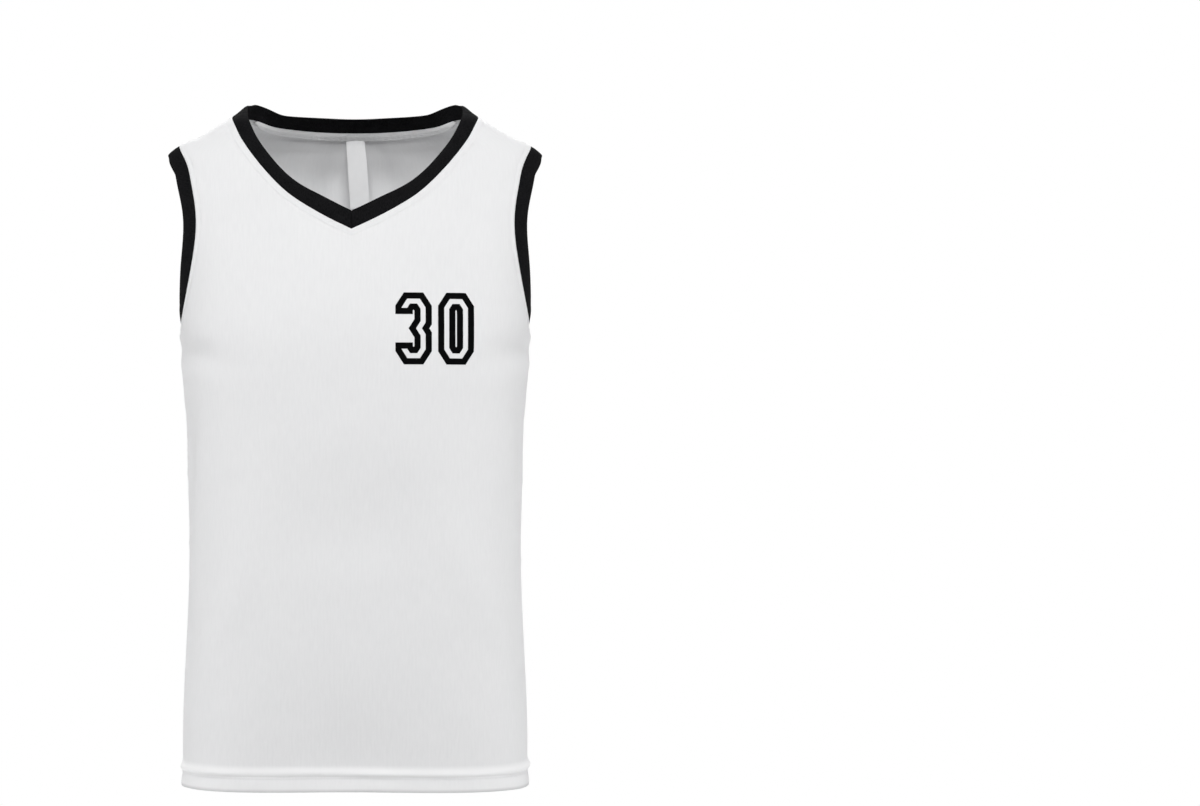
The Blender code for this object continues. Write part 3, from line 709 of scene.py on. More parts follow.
def shell(outer, inner, uv, ring=False):
    """Mesh data of the closed thin shell between two grids of points; a ring closes on itself."""
    number = numbered(*outer.shape[:2], ring)
    size = outer.shape[0] * outer.shape[1]
    if ring:
        rims = (number[0], number[-1, ::-1])
    else:
        rims = (closed(np.concatenate((number[0, :-1], number[:-1, -1], number[-1, :0:-1],
                                       number[:0:-1, 0]))),)
    sides = [np.stack((rim[1:], rim[:-1], rim[:-1] + size, rim[1:] + size), axis=-1)
             for rim in rims]
    faces = np.concatenate((grid_faces(number), grid_faces(number)[:, ::-1] + size, *sides))
    points = np.concatenate((outer.reshape(-1, 3), inner.reshape(-1, 3)))
    flat = uv.reshape(-1, 2)
    return points, faces, np.concatenate((flat, flat))


def swept_ring(sections, uv):
    """Mesh data of the closed ring through sections, each a closed loop of as many points."""
    number = closed(numbered(*sections.shape[:2], ring=True))
    return sections, grid_faces(number)[:, ::-1], uv


# ---- materials

WAVES_PER_UNIT = 3.183         # of a wave texture at scale 1
HEM_WHITE = 28 * MM            # height up to which the doubled hem's whitening and its painted highlight reach
HEM_EDGE_SHADE = 3.8 * MM            # height up to which the painted shade of its folded edge reaches
# whiter doubled hem, brightest where a painted highlight lies on its raised edge
HEM_WHITE_AND_LIT = (0.93, 0.931, 0.935, 1)
# painted shade of the hem's folded bottom edge
HEM_SHADED = (0.56, 0.561, 0.565, 1)
WALE_PITCH = 1.15 * MM
COURSE_PITCH = 0.9 * MM
SHEEN_ROUGHNESS = 0.5

# Dark and light tones of the textures
KNIT_STREAKS = ((0.795, 0.797, 0.805), (0.855, 0.857, 0.862))
KNIT_CLOUDS = ((0.81, 0.812, 0.82), (0.85, 0.851, 0.856))
KNIT_STITCHES = ((0.78, 0.782, 0.79), (0.85, 0.852, 0.858))
RIB_YARN = ((0.0015, 0.0015, 0.002), (0.0125, 0.0125, 0.0135))
RIB_BLOOM = ((0.0035, 0.0035, 0.004), (0.0085, 0.0085, 0.0095))
TAPE_FUZZ = ((0.84, 0.842, 0.848), (0.90, 0.902, 0.908))
TAPE_RIBS = ((0.80, 0.802, 0.81), (0.89, 0.892, 0.898))
LABEL_WEAR = ((0.88, 0.882, 0.888), (0.93, 0.932, 0.936))
LABEL_WEAVE = ((0.82, 0.822, 0.83), (0.91, 0.912, 0.918))
THREAD_TONES = ((0.74, 0.742, 0.75), (0.86, 0.862, 0.868))
INK_FILM = ((0.0020, 0.0020, 0.0022), (0.0042, 0.0042, 0.0045))
INK_PRESSED = ((0.0018, 0.0018, 0.0020), (0.0040, 0.0040, 0.0043))


def set_inputs(tree, node, inputs):
    """Give some of a node's inputs, by name or number, a value or a link to an output."""
    for key, value in inputs.items():
        if isinstance(value, bpy.types.NodeSocket):
            tree.links.new(value, node.inputs[key])
        else:
            node.inputs[key].default_value = value


def add_node(tree, kind, inputs):
    """A new shader node of a kind."""
    node = tree.nodes.new(f"ShaderNode{kind}")
    set_inputs(tree, node, inputs)
    return node


class Shader:
    """A Principled material under construction, with short calls for its nodes."""

    def __init__(self, name, roughness, specular, sheen=0.0):
        self.material = bpy.data.materials.new(name)
        self.material.use_nodes = True
        self.tree = self.material.node_tree
        uv_node = add_node(self.tree, "UVMap", {})
        uv_node.uv_map = "cloth"
        self.map = uv_node.outputs["UV"]
        self.set({"Roughness": roughness, "Sheen Weight": sheen,
                  "Sheen Roughness": SHEEN_ROUGHNESS, "Specular IOR Level": specular})

    def set(self, inputs):
        """Set or link inputs of the Principled node."""
        set_inputs(self.tree, self.tree.nodes["Principled BSDF"], inputs)

    def stretched(self, across, along, turned=0.0):
        """The map scaled so that one unit is across by along metres."""
        scale = (1 / across, 1 / along, 1)
        inputs = {"Vector": self.map, "Scale": scale, "Rotation": (0, 0, turned)}
        return add_node(self.tree, "Mapping", inputs).outputs["Vector"]

    def height_share(self, whole):
        """Height on the cloth above the hem, as a share of a whole in metres."""
        split = add_node(self.tree, "SeparateXYZ", {"Vector": self.map})
        return self.math("DIVIDE", split.outputs["Y"], whole)

    def noise(self, across, along, detail=2.0):
        """Noise whose grains are across by along metres."""
        inputs = {"Vector": self.stretched(across, along), "Scale": 1.0, "Detail": detail}
        return add_node(self.tree, "TexNoise", inputs).outputs["Fac"]

    def waves(self, pitch, turned=0.0, bent=0.0):
        """Parallel waves of a pitch in metres, upright unless turned."""
        size = WAVES_PER_UNIT * pitch
        inputs = {"Vector": self.stretched(size, size, turned), "Scale": 1.0, "Distortion": bent}
        return add_node(self.tree, "TexWave", inputs).outputs["Fac"]

    def math(self, operation, first, second):
        """Two numbers put together."""
        node = add_node(self.tree, "Math", {0: first, 1: second})
        node.operation = operation
        return node.outputs["Value"]

    def ramp(self, factor, *stops):
        """Colours, or greys given as one number, between named places."""
        node = add_node(self.tree, "ValToRGB", {"Fac": factor})
        elements = node.color_ramp.elements
        while len(elements) < len(stops):
            elements.new(0.5)
        for element, (place, colour) in zip(elements, stops):
            element.position = place
            element.color = (*np.broadcast_to(colour, 3), 1)
        return node.outputs["Color"]

    def tones(self, factor, low, high, pair):
        """A texture's tones: the dark one up to one place and the light one from another."""
        return self.ramp(factor, (low, pair[0]), (high, pair[1]))

    def mix(self, factor, first, second):
        """Two colours mixed by a factor."""
        node = add_node(self.tree, "Mix", {})
        node.data_type = "RGBA"
        # The sockets for colours come after those for numbers and vectors.
        set_inputs(self.tree, node, {0: factor, 6: first, 7: second})
        return node.outputs[2]

    def finish(self, colour, *layers):
        """The material, with its colour and its bumps, one on top of another.

        Each layer of bumps is a height, its strength and its depth in metres.
        """
        below = {}
        for height, strength, depth in layers:
            inputs = {"Height": height, "Strength": strength, "Distance": depth, **below}
            below = {"Normal": add_node(self.tree, "Bump", inputs).outputs["Normal"]}
        self.set({"Base Color": colour, **below})
        return self.material


def knit_material():
    """White polyester knit: fine upright wales, a little uneven, with a soft matt sheen."""
    shader = Shader("white_knit", roughness=0.78, sheen=0.12, specular=0.25)
    wales = shader.waves(WALE_PITCH, bent=0.6)
    courses = shader.waves(COURSE_PITCH, turned=math.pi / 2, bent=0.8)
    stitches = shader.math("MULTIPLY", wales, courses)
    streaks = shader.noise(1.9 * MM, 16 * MM, detail=2.5)
    clouds = shader.noise(60 * MM, 85 * MM, detail=3.0)
    body = shader.mix(0.45, shader.tones(streaks, 0.32, 0.68, KNIT_STREAKS),
                      shader.tones(clouds, 0.3, 0.7, KNIT_CLOUDS))
    single = shader.mix(0.3, body, shader.tones(stitches, 0.0, 0.5, KNIT_STITCHES))
    # Doubled cloth looks whiter below the hem's stitches; the whitening is strongest along the
    # raised edge above them, a painted highlight, and weakest between the stitch rows, a painted
    # shade.
    doubling_and_highlight = shader.ramp(shader.height_share(HEM_WHITE), (0.0, 0.5), (0.52, 0.35), (0.64, 1),
                          (0.80, 1), (1.0, 0))
    whitened_and_lit = shader.mix(doubling_and_highlight, single, HEM_WHITE_AND_LIT)
    # Painted shade along the hem's folded bottom edge: the knit is darker towards the very bottom,
    # where the edge turns under.
    edge_shade = shader.ramp(shader.height_share(HEM_EDGE_SHADE), (0.0, 1), (0.3, 0.6), (1.0, 0))
    return shader.finish(shader.mix(edge_shade, whitened_and_lit, HEM_SHADED),
                         (streaks, 0.25, 0.25 * MM), (stitches, 0.35, 0.12 * MM))


def rib_material():
    """Black ribbing: matt yarn with a faint grey bloom."""
    shader = Shader("black_rib", roughness=0.9, sheen=0.015, specular=0.05)
    yarn = shader.noise(0.7 * MM, 2.6 * MM, detail=2.5)
    bloom = shader.noise(14 * MM, 9 * MM, detail=3.0)
    colour = shader.mix(0.4, shader.tones(yarn, 0.36, 0.62, RIB_YARN),
                        shader.tones(bloom, 0.3, 0.75, RIB_BLOOM))
    return shader.finish(colour, (yarn, 0.5, 0.2 * MM))


def tape_material():
    """White knit tape with fine ribs along it."""
    shader = Shader("white_tape", roughness=0.8, sheen=0.1, specular=0.25)
    ribs = shader.waves(1.3 * MM, turned=math.pi / 2, bent=0.4)
    fuzz = shader.noise(1.4 * MM, 3.0 * MM)
    colour = shader.mix(0.35, shader.tones(fuzz, 0.3, 0.7, TAPE_FUZZ),
                        shader.tones(ribs, 0.0, 0.6, TAPE_RIBS))
    return shader.finish(colour, (ribs, 0.3, 0.2 * MM), (fuzz, 0.2, 0.15 * MM))


def label_material():
    """Woven satin label, bare of any words."""
    shader = Shader("woven_label", roughness=0.55, sheen=0.05, specular=0.4)
    weft = shader.waves(0.55 * MM, turned=math.pi / 2)
    warp = shader.waves(0.45 * MM)
    weave = shader.math("MULTIPLY", weft, warp)
    wear = shader.noise(9 * MM, 14 * MM, detail=3.0)
    colour = shader.mix(0.3, shader.tones(wear, 0.3, 0.7, LABEL_WEAR),
                        shader.tones(weave, 0.0, 0.5, LABEL_WEAVE))
    return shader.finish(colour, (weave, 0.3, 0.08 * MM))


def thread_material():
    """Twisted white sewing thread."""
    shader = Shader("white_thread", roughness=0.6, sheen=0.1, specular=0.35)
    twist = shader.waves(0.45 * MM, turned=0.9)
    tone = shader.noise(3 * MM, 3 * MM)
    colour = shader.mix(0.4, shader.tones(twist, 0.1, 0.7, THREAD_TONES),
                        shader.tones(tone, 0.3, 0.7, THREAD_TONES))
    return shader.finish(colour, (twist, 0.4, 0.1 * MM))


def print_material():
    """Matt black print, with the knit showing through its surface."""
    shader = Shader("black_print", roughness=0.75, specular=0.01)
    wales = shader.waves(WALE_PITCH, bent=0.6)
    film = shader.noise(5 * MM, 7 * MM, detail=3.0)
    colour = shader.mix(0.4, shader.tones(film, 0.3, 0.7, INK_FILM),
                        shader.tones(wales, 0.0, 0.8, INK_PRESSED))
    return shader.finish(colour, (film, 0.15, 0.15 * MM), (wales, 0.25, 0.1 * MM))


# ---- ribbed bands

BAND_TUCK = 0.5 * MM                 # ribbing hidden behind the cut edge of the cloth
BAND_WALL = 2.2 * MM
BAND_RISE = -0.3 * MM
NECKBAND_WIDTH = 19 * MM
ARMBAND_WIDTH = 16.5 * MM
NECKBAND_CROWN = (0.8 * MM, 2.6 * MM)
ARMBAND_CROWN = 1.0 * MM
MITRE_REACH = 60 * MM                # from the V, over which the strip's slant runs out
MITRE_GROOVE = (0.9 * MM, 1.2 * MM)  # half width and depth of the seam down the V
JOIN_GROOVE = (0.8 * MM, 0.45 * MM)  # and of the seam that closes the ribbing's loop
JOIN_PLACE = 12 * MM                 # left of the V
NORMAL_REACH = 9 * MM                # over which the cloth's slope is evened along a seam
RIB_PITCH = 2.1 * MM
RIB_SAMPLES = 4
RIB_DEPTH = 0.24 * MM
RIB_FADE = 0.1                       # share of the width over which the ribs rise at the seam
LEAN_FROM = 0.3                      # and by which a band has leant over

# Lean of the neckband along the half loop from the V to the middle of the back, in degrees,
# and how much of its width it keeps
NECKBAND_LEAN = (
    # share_of_half_loop, lean, share_of_width
    (0, 0, 1), (0.12, -4, 1), (0.26, -16, 0.88), (0.40, -16, 0.86), (0.48, -12, 0.88),
    (0.55, -7, 0.91), (0.61, -10, 0.90), (0.67, -10, 0.88), (0.73, -12, 0.86), (0.80, -8, 0.93),
    (0.88, -4, 0.95), (1, -2, 0.94),
)

# And how far the armbands gape, from the shoulder tip down to the underarm
ARMBAND_LEAN = (
    # share_of_the_way_down, lean
    (0, 1), (0.05, 4), (0.10, 9), (0.17, 13), (0.26, 11), (0.36, 10), (0.50, 13), (0.65, 15),
    (0.80, 11), (0.90, 6), (1, 0),
)

# Outline across the doubled ribbing, from the seam over the loose edge and back
BAND_OUTLINE = (
    # share_of_width, share_of_wall, share_of_crown
    (0, 0, 0), (0.06, -0.02, 0.25), (0.16, 0, 0.5), (0.30, 0, 0.8), (0.46, 0, 0.95),
    (0.62, 0, 1), (0.78, 0.01, 0.9), (0.90, 0.06, 0.74), (0.965, 0.17, 0.6), (0.99, 0.36, 0.5),
    (0.99, 0.64, 0.5), (0.965, 0.83, 0.6), (0.90, 0.94, 0.72), (0.68, 1, 0.85), (0.45, 1, 0.9),
    (0.22, 1, 0.55), (0, 1, 0),
)


def join_seams(first, second):
    """Closed seam loop from two panel edges; where they meet, halfway between their ends."""
    start = (first[0] + second[-1]) / 2
    end = (first[-1] + second[0]) / 2
    return np.concatenate((start[None], first[1:-1], end[None], second[1:-1]))


def neck_loop(front, back):
    """Points and normals of the neck seam, from the V round the wearer's left side."""
    middle = front.outer.shape[1] // 2
    seam = join_seams(front.outer[-1], back.outer[-1])
    normal = join_seams(front.normal[-1], back.normal[-1])
    return np.roll(seam, -middle, axis=0), np.roll(normal, -middle, axis=0)


def arm_loop(front, back, on_left):
    """Points and normals of an armhole seam."""
    rows = slice(LOW_ROW, TIP_ROW + 1)
    loops = []
    for ahead, behind in ((front.outer, back.outer), (front.normal, back.normal)):
        if on_left:
            loops.append(join_seams(ahead[rows, -1][::-1], behind[rows, 0]))
        else:
            loops.append(join_seams(ahead[rows, 0], behind[rows, -1][::-1]))
    return loops


def evened(values, reach):
    """Values at even steps round a loop, each averaged softly over a reach of so many steps."""
    apart = np.arange(len(values))
    apart = np.minimum(apart, len(values) - apart)
    weight = np.exp(-(apart / reach) ** 2)
    spread = np.fft.fft(weight / weight.sum())[:, None]
    return np.fft.ifft(np.fft.fft(values, axis=0) * spread, axis=0).real


def even_loop(seam, normal, step):
    """The loop at even steps of about this length, smooth but for a corner at its start."""
    both = closed(np.concatenate((seam, normal), axis=1))
    run = chord_knots(both[:, :3])
    count = max(3, round(run[-1] / step))
    even = smooth_curve(run, both)(np.linspace(0, run[-1], count, endpoint=False))
    normal = evened(even[:, 3:], NORMAL_REACH * count / run[-1])
    return even[:, :3], unit(normal), run[-1]


def loop_frame(seam, normal):
    """Tangents along a closed loop, and the directions in the cloth's slope away from it."""
    before = unit(seam - np.roll(seam, 1, axis=0))
    after = unit(np.roll(seam, -1, axis=0) - seam)
    tangent = unit(before + after)
    return before, after, tangent, unit(np.cross(normal, tangent))


def mitre(before, after):
    """Stretch and slant of a strip mitred at the first point of a loop."""
    half_corner = math.acos(float(np.dot(before[0], after[0]))) / 2
    return 1 / math.cos(half_corner), math.tan(half_corner)


def table_curves(table, places):
    """Smooth curve through each further column of a table, read at places along its first."""
    table = np.array(table)
    return smooth_curve(table[:, 0], table[:, 1:])(places).T


def band_sections(seam, normal, length, width, crown, lean, mitred=False):
    """Sections of a doubled rib band that grows from a seam loop, with its ribs raised."""
    count = len(seam)
    before, after, tangent, away = loop_frame(seam, normal)
    run = np.arange(count) * length / count
    apart = (run + length / 2) % length - length / 2
    swing = np.zeros((count, 1))
    stretch = np.ones((count, 1))
    groove = np.zeros(count)
    if mitred:
        stretch[0], slant = mitre(before, after)
        reach = np.clip(1 - np.abs(apart) / MITRE_REACH, 0, 1)
        swing[:, 0] = np.sign(apart) * slant * reach
        groove = MITRE_GROOVE[1] * np.exp(-(apart / MITRE_GROOVE[0]) ** 2)
        groove += JOIN_GROOVE[1] * np.exp(-((apart - JOIN_PLACE) / JOIN_GROOVE[0]) ** 2)
    share, wall, bulge = np.array(BAND_OUTLINE).T
    leant = np.reshape(lean, (-1, 1)) * np.clip(share / LEAN_FROM, 0, 1)
    reach = share * (np.reshape(width, (-1, 1)) + BAND_TUCK) - BAND_TUCK
    reach = np.broadcast_to(reach, leant.shape)
    rise = BAND_RISE - wall * BAND_WALL + bulge * np.reshape(crown, (-1, 1))
    rise = rise - groove[:, None] * (wall < 0.5) * np.sqrt(bulge)
    # Ribs stand off the outline, square to it, and fade out at the seam.
    ahead_reach, ahead_rise = np.roll(reach, -1, axis=1), np.roll(rise, -1, axis=1)
    back_reach, back_rise = np.roll(reach, 1, axis=1), np.roll(rise, 1, axis=1)
    outward = unit(paired(back_rise - ahead_rise, ahead_reach - back_reach))
    wave = (1 - np.cos(2 * math.pi * np.arange(count) / RIB_SAMPLES)) / 2
    ribs = RIB_DEPTH * wave[:, None] * np.clip(share / RIB_FADE, 0, 1)
    reach = reach + ribs * outward[..., 0]
    rise = rise + ribs * outward[..., 1]
    cos, sin = np.cos(leant)[..., None], np.sin(leant)[..., None]
    out = away[:, None] * cos + normal[:, None] * sin
    up = normal[:, None] * cos - away[:, None] * sin
    across = out * stretch[:, None] + tangent[:, None] * swing[:, None]
    sections = seam[:, None] + across * reach[..., None] + up * rise[..., None]
    around = chord_knots(paired(share * np.mean(width), wall * BAND_WALL))
    return sections, paired(run[:, None], around)


def ribbed_loop(seam, normal):
    """The loop at even steps that give a whole number of ribs round it."""
    length = chord_knots(closed(seam))[-1]
    ribs = max(1, round(length / RIB_PITCH))
    return even_loop(seam, normal, length / (ribs * RIB_SAMPLES))


def build_neckband(front, back, material):
    """The mitred V-neck ribbing."""
    seam, normal, length = ribbed_loop(*neck_loop(front, back))
    from_v = 1 - np.abs(np.arange(len(seam)) / len(seam) * 2 - 1)
    lean, width = table_curves(NECKBAND_LEAN, from_v)
    crown = NECKBAND_CROWN[0] + (NECKBAND_CROWN[1] - NECKBAND_CROWN[0]) * from_v
    band = band_sections(seam, normal, length, NECKBAND_WIDTH * width, crown, np.radians(lean),
                         mitred=True)
    new_piece("neck_ribbing", swept_ring(*band), material, node="neckband")


def build_armband(name, node, on_left, front, back, material):
    """The ribbing round one armhole."""
    seam, normal, length = ribbed_loop(*arm_loop(front, back, on_left))
    height = (seam[:, 2] + SHOULDER_HEIGHT) / MM
    down = np.clip((SHOULDER_TIP - height) / (SHOULDER_TIP - UNDERARM), 0, 1)
    lean = table_curves(ARMBAND_LEAN, down)[0]
    band = band_sections(seam, normal, length, ARMBAND_WIDTH, ARMBAND_CROWN, np.radians(lean))
    new_piece(name, swept_ring(*band), material, node=node)


# ---- stitches

STITCH_PITCH = 3.0 * MM
STITCH_LENGTH = 2.35 * MM
STITCH_START = 0.1             # where a stitch starts, as a share of the pitch
THREAD = 0.17 * MM             # radius
LOOP_STEP = 1.5 * MM           # between the places at which a seam is laid on the cloth
LAID_REACH = 8 * MM            # how far away the cloth is looked for
LAID_ON = 5                    # its nearest points that are averaged,
LAID_SOFT = 0.1 * MM           # and the distance added to theirs to weigh them
HEM_STEPS = 700                # round the hem, along which its stitches are laid
# Rings of one stitch: share of its length, height above the cloth and share of its radius
STITCH_RINGS = (
    # share, lift, radius
    (0, -0.30, 0.60), (0.14, 0.02, 0.95), (0.50, 0.14, 1), (0.86, 0.02, 0.95), (1, -0.30, 0.60),
)
STITCH_SIDES = 6
STITCH_TIPS = ((5, 4, 1, 0), (4, 3, 2, 1))  # quads that close the end of a stitch


def stitch_row(name, path, normal, material, all_round=True):
    """A row of raised stitches along a path on the cloth, as one joined mesh."""
    both = np.concatenate((path, normal), axis=1)
    if all_round:
        both = closed(both)
    run = chord_knots(both[:, :3])
    count = max(1, int(run[-1] / STITCH_PITCH))
    starts = (np.arange(count) + STITCH_START) * run[-1] / count
    share, lift, radius = np.array(STITCH_RINGS).T
    at = starts[:, None] + share[None] * STITCH_LENGTH
    ring = np.stack([np.interp(at, run, column) for column in both.T], axis=-1)
    up = unit(ring[..., 3:])
    along = unit(np.gradient(ring[..., :3], axis=1))
    aside = unit(np.cross(up, along))
    centre = ring[..., :3] + up * (lift * MM)[None, :, None]
    turn = np.arange(STITCH_SIDES) * 2 * math.pi / STITCH_SIDES
    spoke = up[..., None, :] * np.cos(turn)[:, None] + aside[..., None, :] * np.sin(turn)[:, None]
    points = centre[..., None, :] + spoke * (radius * THREAD)[None, :, None, None]
    rings = len(STITCH_RINGS)
    quads = grid_faces(numbered(rings, STITCH_SIDES, ring=True))
    tips = np.array(STITCH_TIPS)
    faces = np.concatenate((quads[:, ::-1], tips[:, ::-1], tips + (rings - 1) * STITCH_SIDES))
    faces = (faces[None] + np.arange(count)[:, None, None] * rings * STITCH_SIDES).reshape(-1, 4)
    uv = paired(at[..., None], turn * THREAD)
    new_piece(name, (points, faces, uv), material, crease=80)


def laid_on(points, panels):
    """Points dropped on to the panels' outer faces, with the normals there."""
    outer = np.concatenate([panel.outer.reshape(-1, 3) for panel in panels])
    normals = np.concatenate([panel.normal.reshape(-1, 3) for panel in panels])
    low, high = points.min(0) - LAID_REACH, points.max(0) + LAID_REACH
    near = ((outer > low) & (outer < high)).all(axis=1)
    outer, normals = outer[near], normals[near]
    laid, faced = [], []
    for point in points:
        gaps = np.linalg.norm(outer - point, axis=1)
        close = np.argpartition(gaps, LAID_ON)[:LAID_ON]
        weight = 1 / (gaps[close] + LAID_SOFT) ** 2
        normal = unit((normals[close] * weight[:, None]).sum(0))
        height = ((outer[close] - point) @ normal * weight).sum() / weight.sum()
        laid.append(point + normal * height)
        faced.append(normal)
    return np.array(laid), np.array(faced)


def offset_loop(seam, normal, distance, mitred):
    """Points of the loop moved into the cloth by a distance."""
    seam, normal, _ = even_loop(seam, normal, LOOP_STEP)
    before, after, _, away = loop_frame(seam, normal)
    stretch = np.ones((len(seam), 1))
    if mitred:
        stretch[0], _ = mitre(before, after)
    return seam - away * distance * stretch


def build_edge_stitches(name, loop, distance, panels, material, mitred=False):
    """A row of stitches at a distance from a seam."""
    path, normal = laid_on(offset_loop(*loop, distance, mitred), panels)
    stitch_row(name, path, normal, material)


def build_hem_stitches(name, height, material):
    """A row of stitches right round the hem."""
    turn = np.linspace(0, 4, HEM_STEPS, endpoint=False)
    station = np.broadcast_to(station_at(height), turn.shape)
    points, normal = creased_cloth(turn, station)
    around = (turn + 1) % 4 - 1
    relief = hem_relief(around, np.full(turn.shape, height)) * MM
    stitch_row(name, points + normal * relief[:, None], normal, material)


# ---- overlocked seams inside

OVERLOCK_WIDTH = 4.6 * MM
OVERLOCK_PITCH = 2.4 * MM
OVERLOCK_STEP = 0.6 * MM
OVERLOCK_LOOPS = 0.18            # share of the depth by which the loops of thread vary it
OVERLOCK_SWAY = (0.05, 17 * MM)  # share of the width and pitch of its wander
BACKING = 0.2 * MM               # from the line that a strip is laid along to its hidden side
# Section across the seam allowance, from the seam line outwards
OVERLOCK_PROFILE = (
    # share_of_width, depth
    (-0.06, 0), (0, 0.75), (0.16, 1), (0.5, 0.9), (0.84, 0.95), (1, 0.65), (1.05, 0),
)


def overlock_strip(name, seam, normal, side, material):
    """Seam allowance inside the cloth, bound with looped thread and pressed to one side."""
    both = np.concatenate((seam, normal), axis=1)
    run = chord_knots(seam)
    count = max(4, round(run[-1] / OVERLOCK_STEP))
    even_run = np.linspace(0, run[-1], count)
    even = smooth_curve(run, both)(even_run)
    centre, up = even[:, :3], unit(even[:, 3:])
    aside = unit(np.cross(up, np.gradient(centre, axis=0))) * side
    share, depth = np.array(OVERLOCK_PROFILE).T
    waves = np.cos(2 * math.pi * (even_run[:, None] / OVERLOCK_PITCH - share))
    loops = 1 - OVERLOCK_LOOPS + OVERLOCK_LOOPS * waves
    sway = 1 + OVERLOCK_SWAY[0] * np.sin(even_run / OVERLOCK_SWAY[1])[:, None]
    out = centre[:, None] + aside[:, None] * (share * OVERLOCK_WIDTH * sway)[..., None]
    outer = out - up[:, None] * (depth * loops * MM)[..., None]
    inner = out + up[:, None] * BACKING
    uv = paired(share * OVERLOCK_WIDTH, even_run[:, None])
    grids = [grid[:, ::-1] if side < 0 else grid for grid in (outer, inner, uv)]
    new_piece(name, shell(*grids), material, crease=70)


def build_overlocks(front, back, material):
    """Bound allowances inside the side, shoulder, armhole and front neck seams."""
    for name, column, other, side in (("left", -1, 0, 1), ("right", 0, -1, -1)):
        for seam_name, rows in (("side", slice(0, LOW_ROW + 1)),
                                ("shoulder", slice(TIP_ROW, None))):
            seam = (front.inner[rows, column] + back.inner[rows, other]) / 2
            normal = unit(front.normal[rows, column] + back.normal[rows, other])
            overlock_strip(f"{name}_{seam_name}_overlock", seam, normal, -side, material)
        rows = slice(LOW_ROW, TIP_ROW + 1)
        for part, panel, edge, turned in (("front", front, column, side),
                                          ("back", back, other, -side)):
            overlock_strip(f"{name}_{part}_armhole_overlock", panel.inner[rows, edge],
                           panel.normal[rows, edge], turned, material)
    overlock_strip("front_neck_overlock", front.inner[-1], front.normal[-1], -1, material)


# ---- neck tape and label

TAPE_WIDTH = 10.5 * MM
TAPE_CLEAR = 0.7 * MM
TAPE_END = 3                     # columns of the solid's grid beyond each end of the tape
TAPE_WALL = 0.7 * MM
TAPE_ROWS = 6                    # rows of the cloth over which the tape's fall is measured
TAPE_TAPER = 14.0                # millimetres at each end over which it narrows
TAPE_STEADY = 0.55               # share of its width that doesn't
TAPE_LEAST = 0.25                # of the rest and of its rise, what is left at the ends
TAPE_RIPPLE = (0.14, 0.9)        # share of the rise, and phase
TAPE_SWELL = (0.06, 2.1)         # millimetres, and phase
TAPE_STITCH = (0.72, 1.66 * MM)  # share of the width, and height above the tape
TAPE_UNSEWN = 4                  # columns at each end without stitches
# Section across the tape, from its lower edge to its upper one
TAPE_PROFILE = (
    # share_of_width, rise
    (1.00, 1.2),
    (0.97, 1.9),
    (0.90, 2.2),
    (0.80, 2),
    (0.72, 1.6),  # the lower row of stitches pulls it in
    (0.62, 1.8),
    (0.48, 1.6),
    (0.34, 1.2),
    (0.22, 0.7),
    (0.10, 0.2),
    (0.04, 0),
)
LABEL_SIZE = (20 * MM, 75 * MM)
LABEL_TILT = math.radians(3.5)
LABEL_ROOT = 0.5 * MM          # depth in the tape from which it hangs
LABEL_CLEAR = 0.8 * MM
LABEL_BOW = 1.5 * MM
LABEL_LEAN = 1.0 * MM
LABEL_CURL = 1.2 * MM
LABEL_CLOTH = 0.25 * MM
LABEL_WAVE = 0.25 * MM         # how far its leaves ripple
LABEL_TUCK = 0.12              # share of the length over which the leaves part
LABEL_ROWS = 26
LABEL_FOLD_ROWS = 9
LABEL_COLUMNS = 13
LEAF_GAP = 0.55 * MM           # between the label's two leaves
LEAF_SHIFT = 1.3 * MM          # the hidden leaf shows past the other's edge


def tape_frame(back):
    """Where the tape is sewn, along the inside of the back neckline: top, down and inward."""
    drawn = TAPE_END * COLUMNS / NECK_KNOTS
    cut = len(EDGE_PLACES) + round((drawn - INNER_FROM) / INNER_STEP)
    columns = slice(cut, back.outer.shape[1] - cut)
    top = back.inner[-1, columns]
    below = back.inner[-TAPE_ROWS, columns]
    return top, unit(below - top), -back.normal[-1, columns]


def build_tape(back, material):
    """The tape over the back neck seam, rolled at its lower edge."""
    top, down, inward = tape_frame(back)
    run = chord_knots(top) / MM
    taper = np.clip(np.minimum(run, run[-1] - run) / TAPE_TAPER, TAPE_LEAST, 1.0)
    share, rise = np.array(TAPE_PROFILE).T
    ripple, swell = [size * puckers(run, phase) for size, phase in (TAPE_RIPPLE, TAPE_SWELL)]
    fall = share[:, None] * TAPE_WIDTH * (TAPE_STEADY + (1 - TAPE_STEADY) * taper)
    lift = (rise[:, None] * (1 + ripple) * taper + swell) * MM
    base = top[None] + down[None] * fall[..., None] + inward[None] * TAPE_CLEAR
    outer = base + inward[None] * (TAPE_WALL + lift)[..., None]
    inner = base + inward[None] * BACKING
    new_piece("back_neck_tape", shell(outer, inner, paired(run * MM, fall)), material,
              crease=70, node="neck_tape")


def build_tape_stitches(back, material):
    """The row of stitches that holds the tape down, just above its lower edge."""
    top, down, inward = tape_frame(back)
    share, lift = TAPE_STITCH
    path = top + down * share * TAPE_WIDTH + inward * (TAPE_CLEAR + TAPE_WALL + lift)
    sewn = slice(TAPE_UNSEWN, -TAPE_UNSEWN)
    stitch_row("tape_stitches", path[sewn], inward[sewn], material, all_round=False)


def label_foot(back):
    """The point in the middle of the tape's lower edge from which the label hangs."""
    top, down, inward = tape_frame(back)
    middle = len(top) // 2
    depth = TAPE_CLEAR + LABEL_ROOT
    return top[middle] + down[middle] * TAPE_WIDTH + inward[middle] * depth


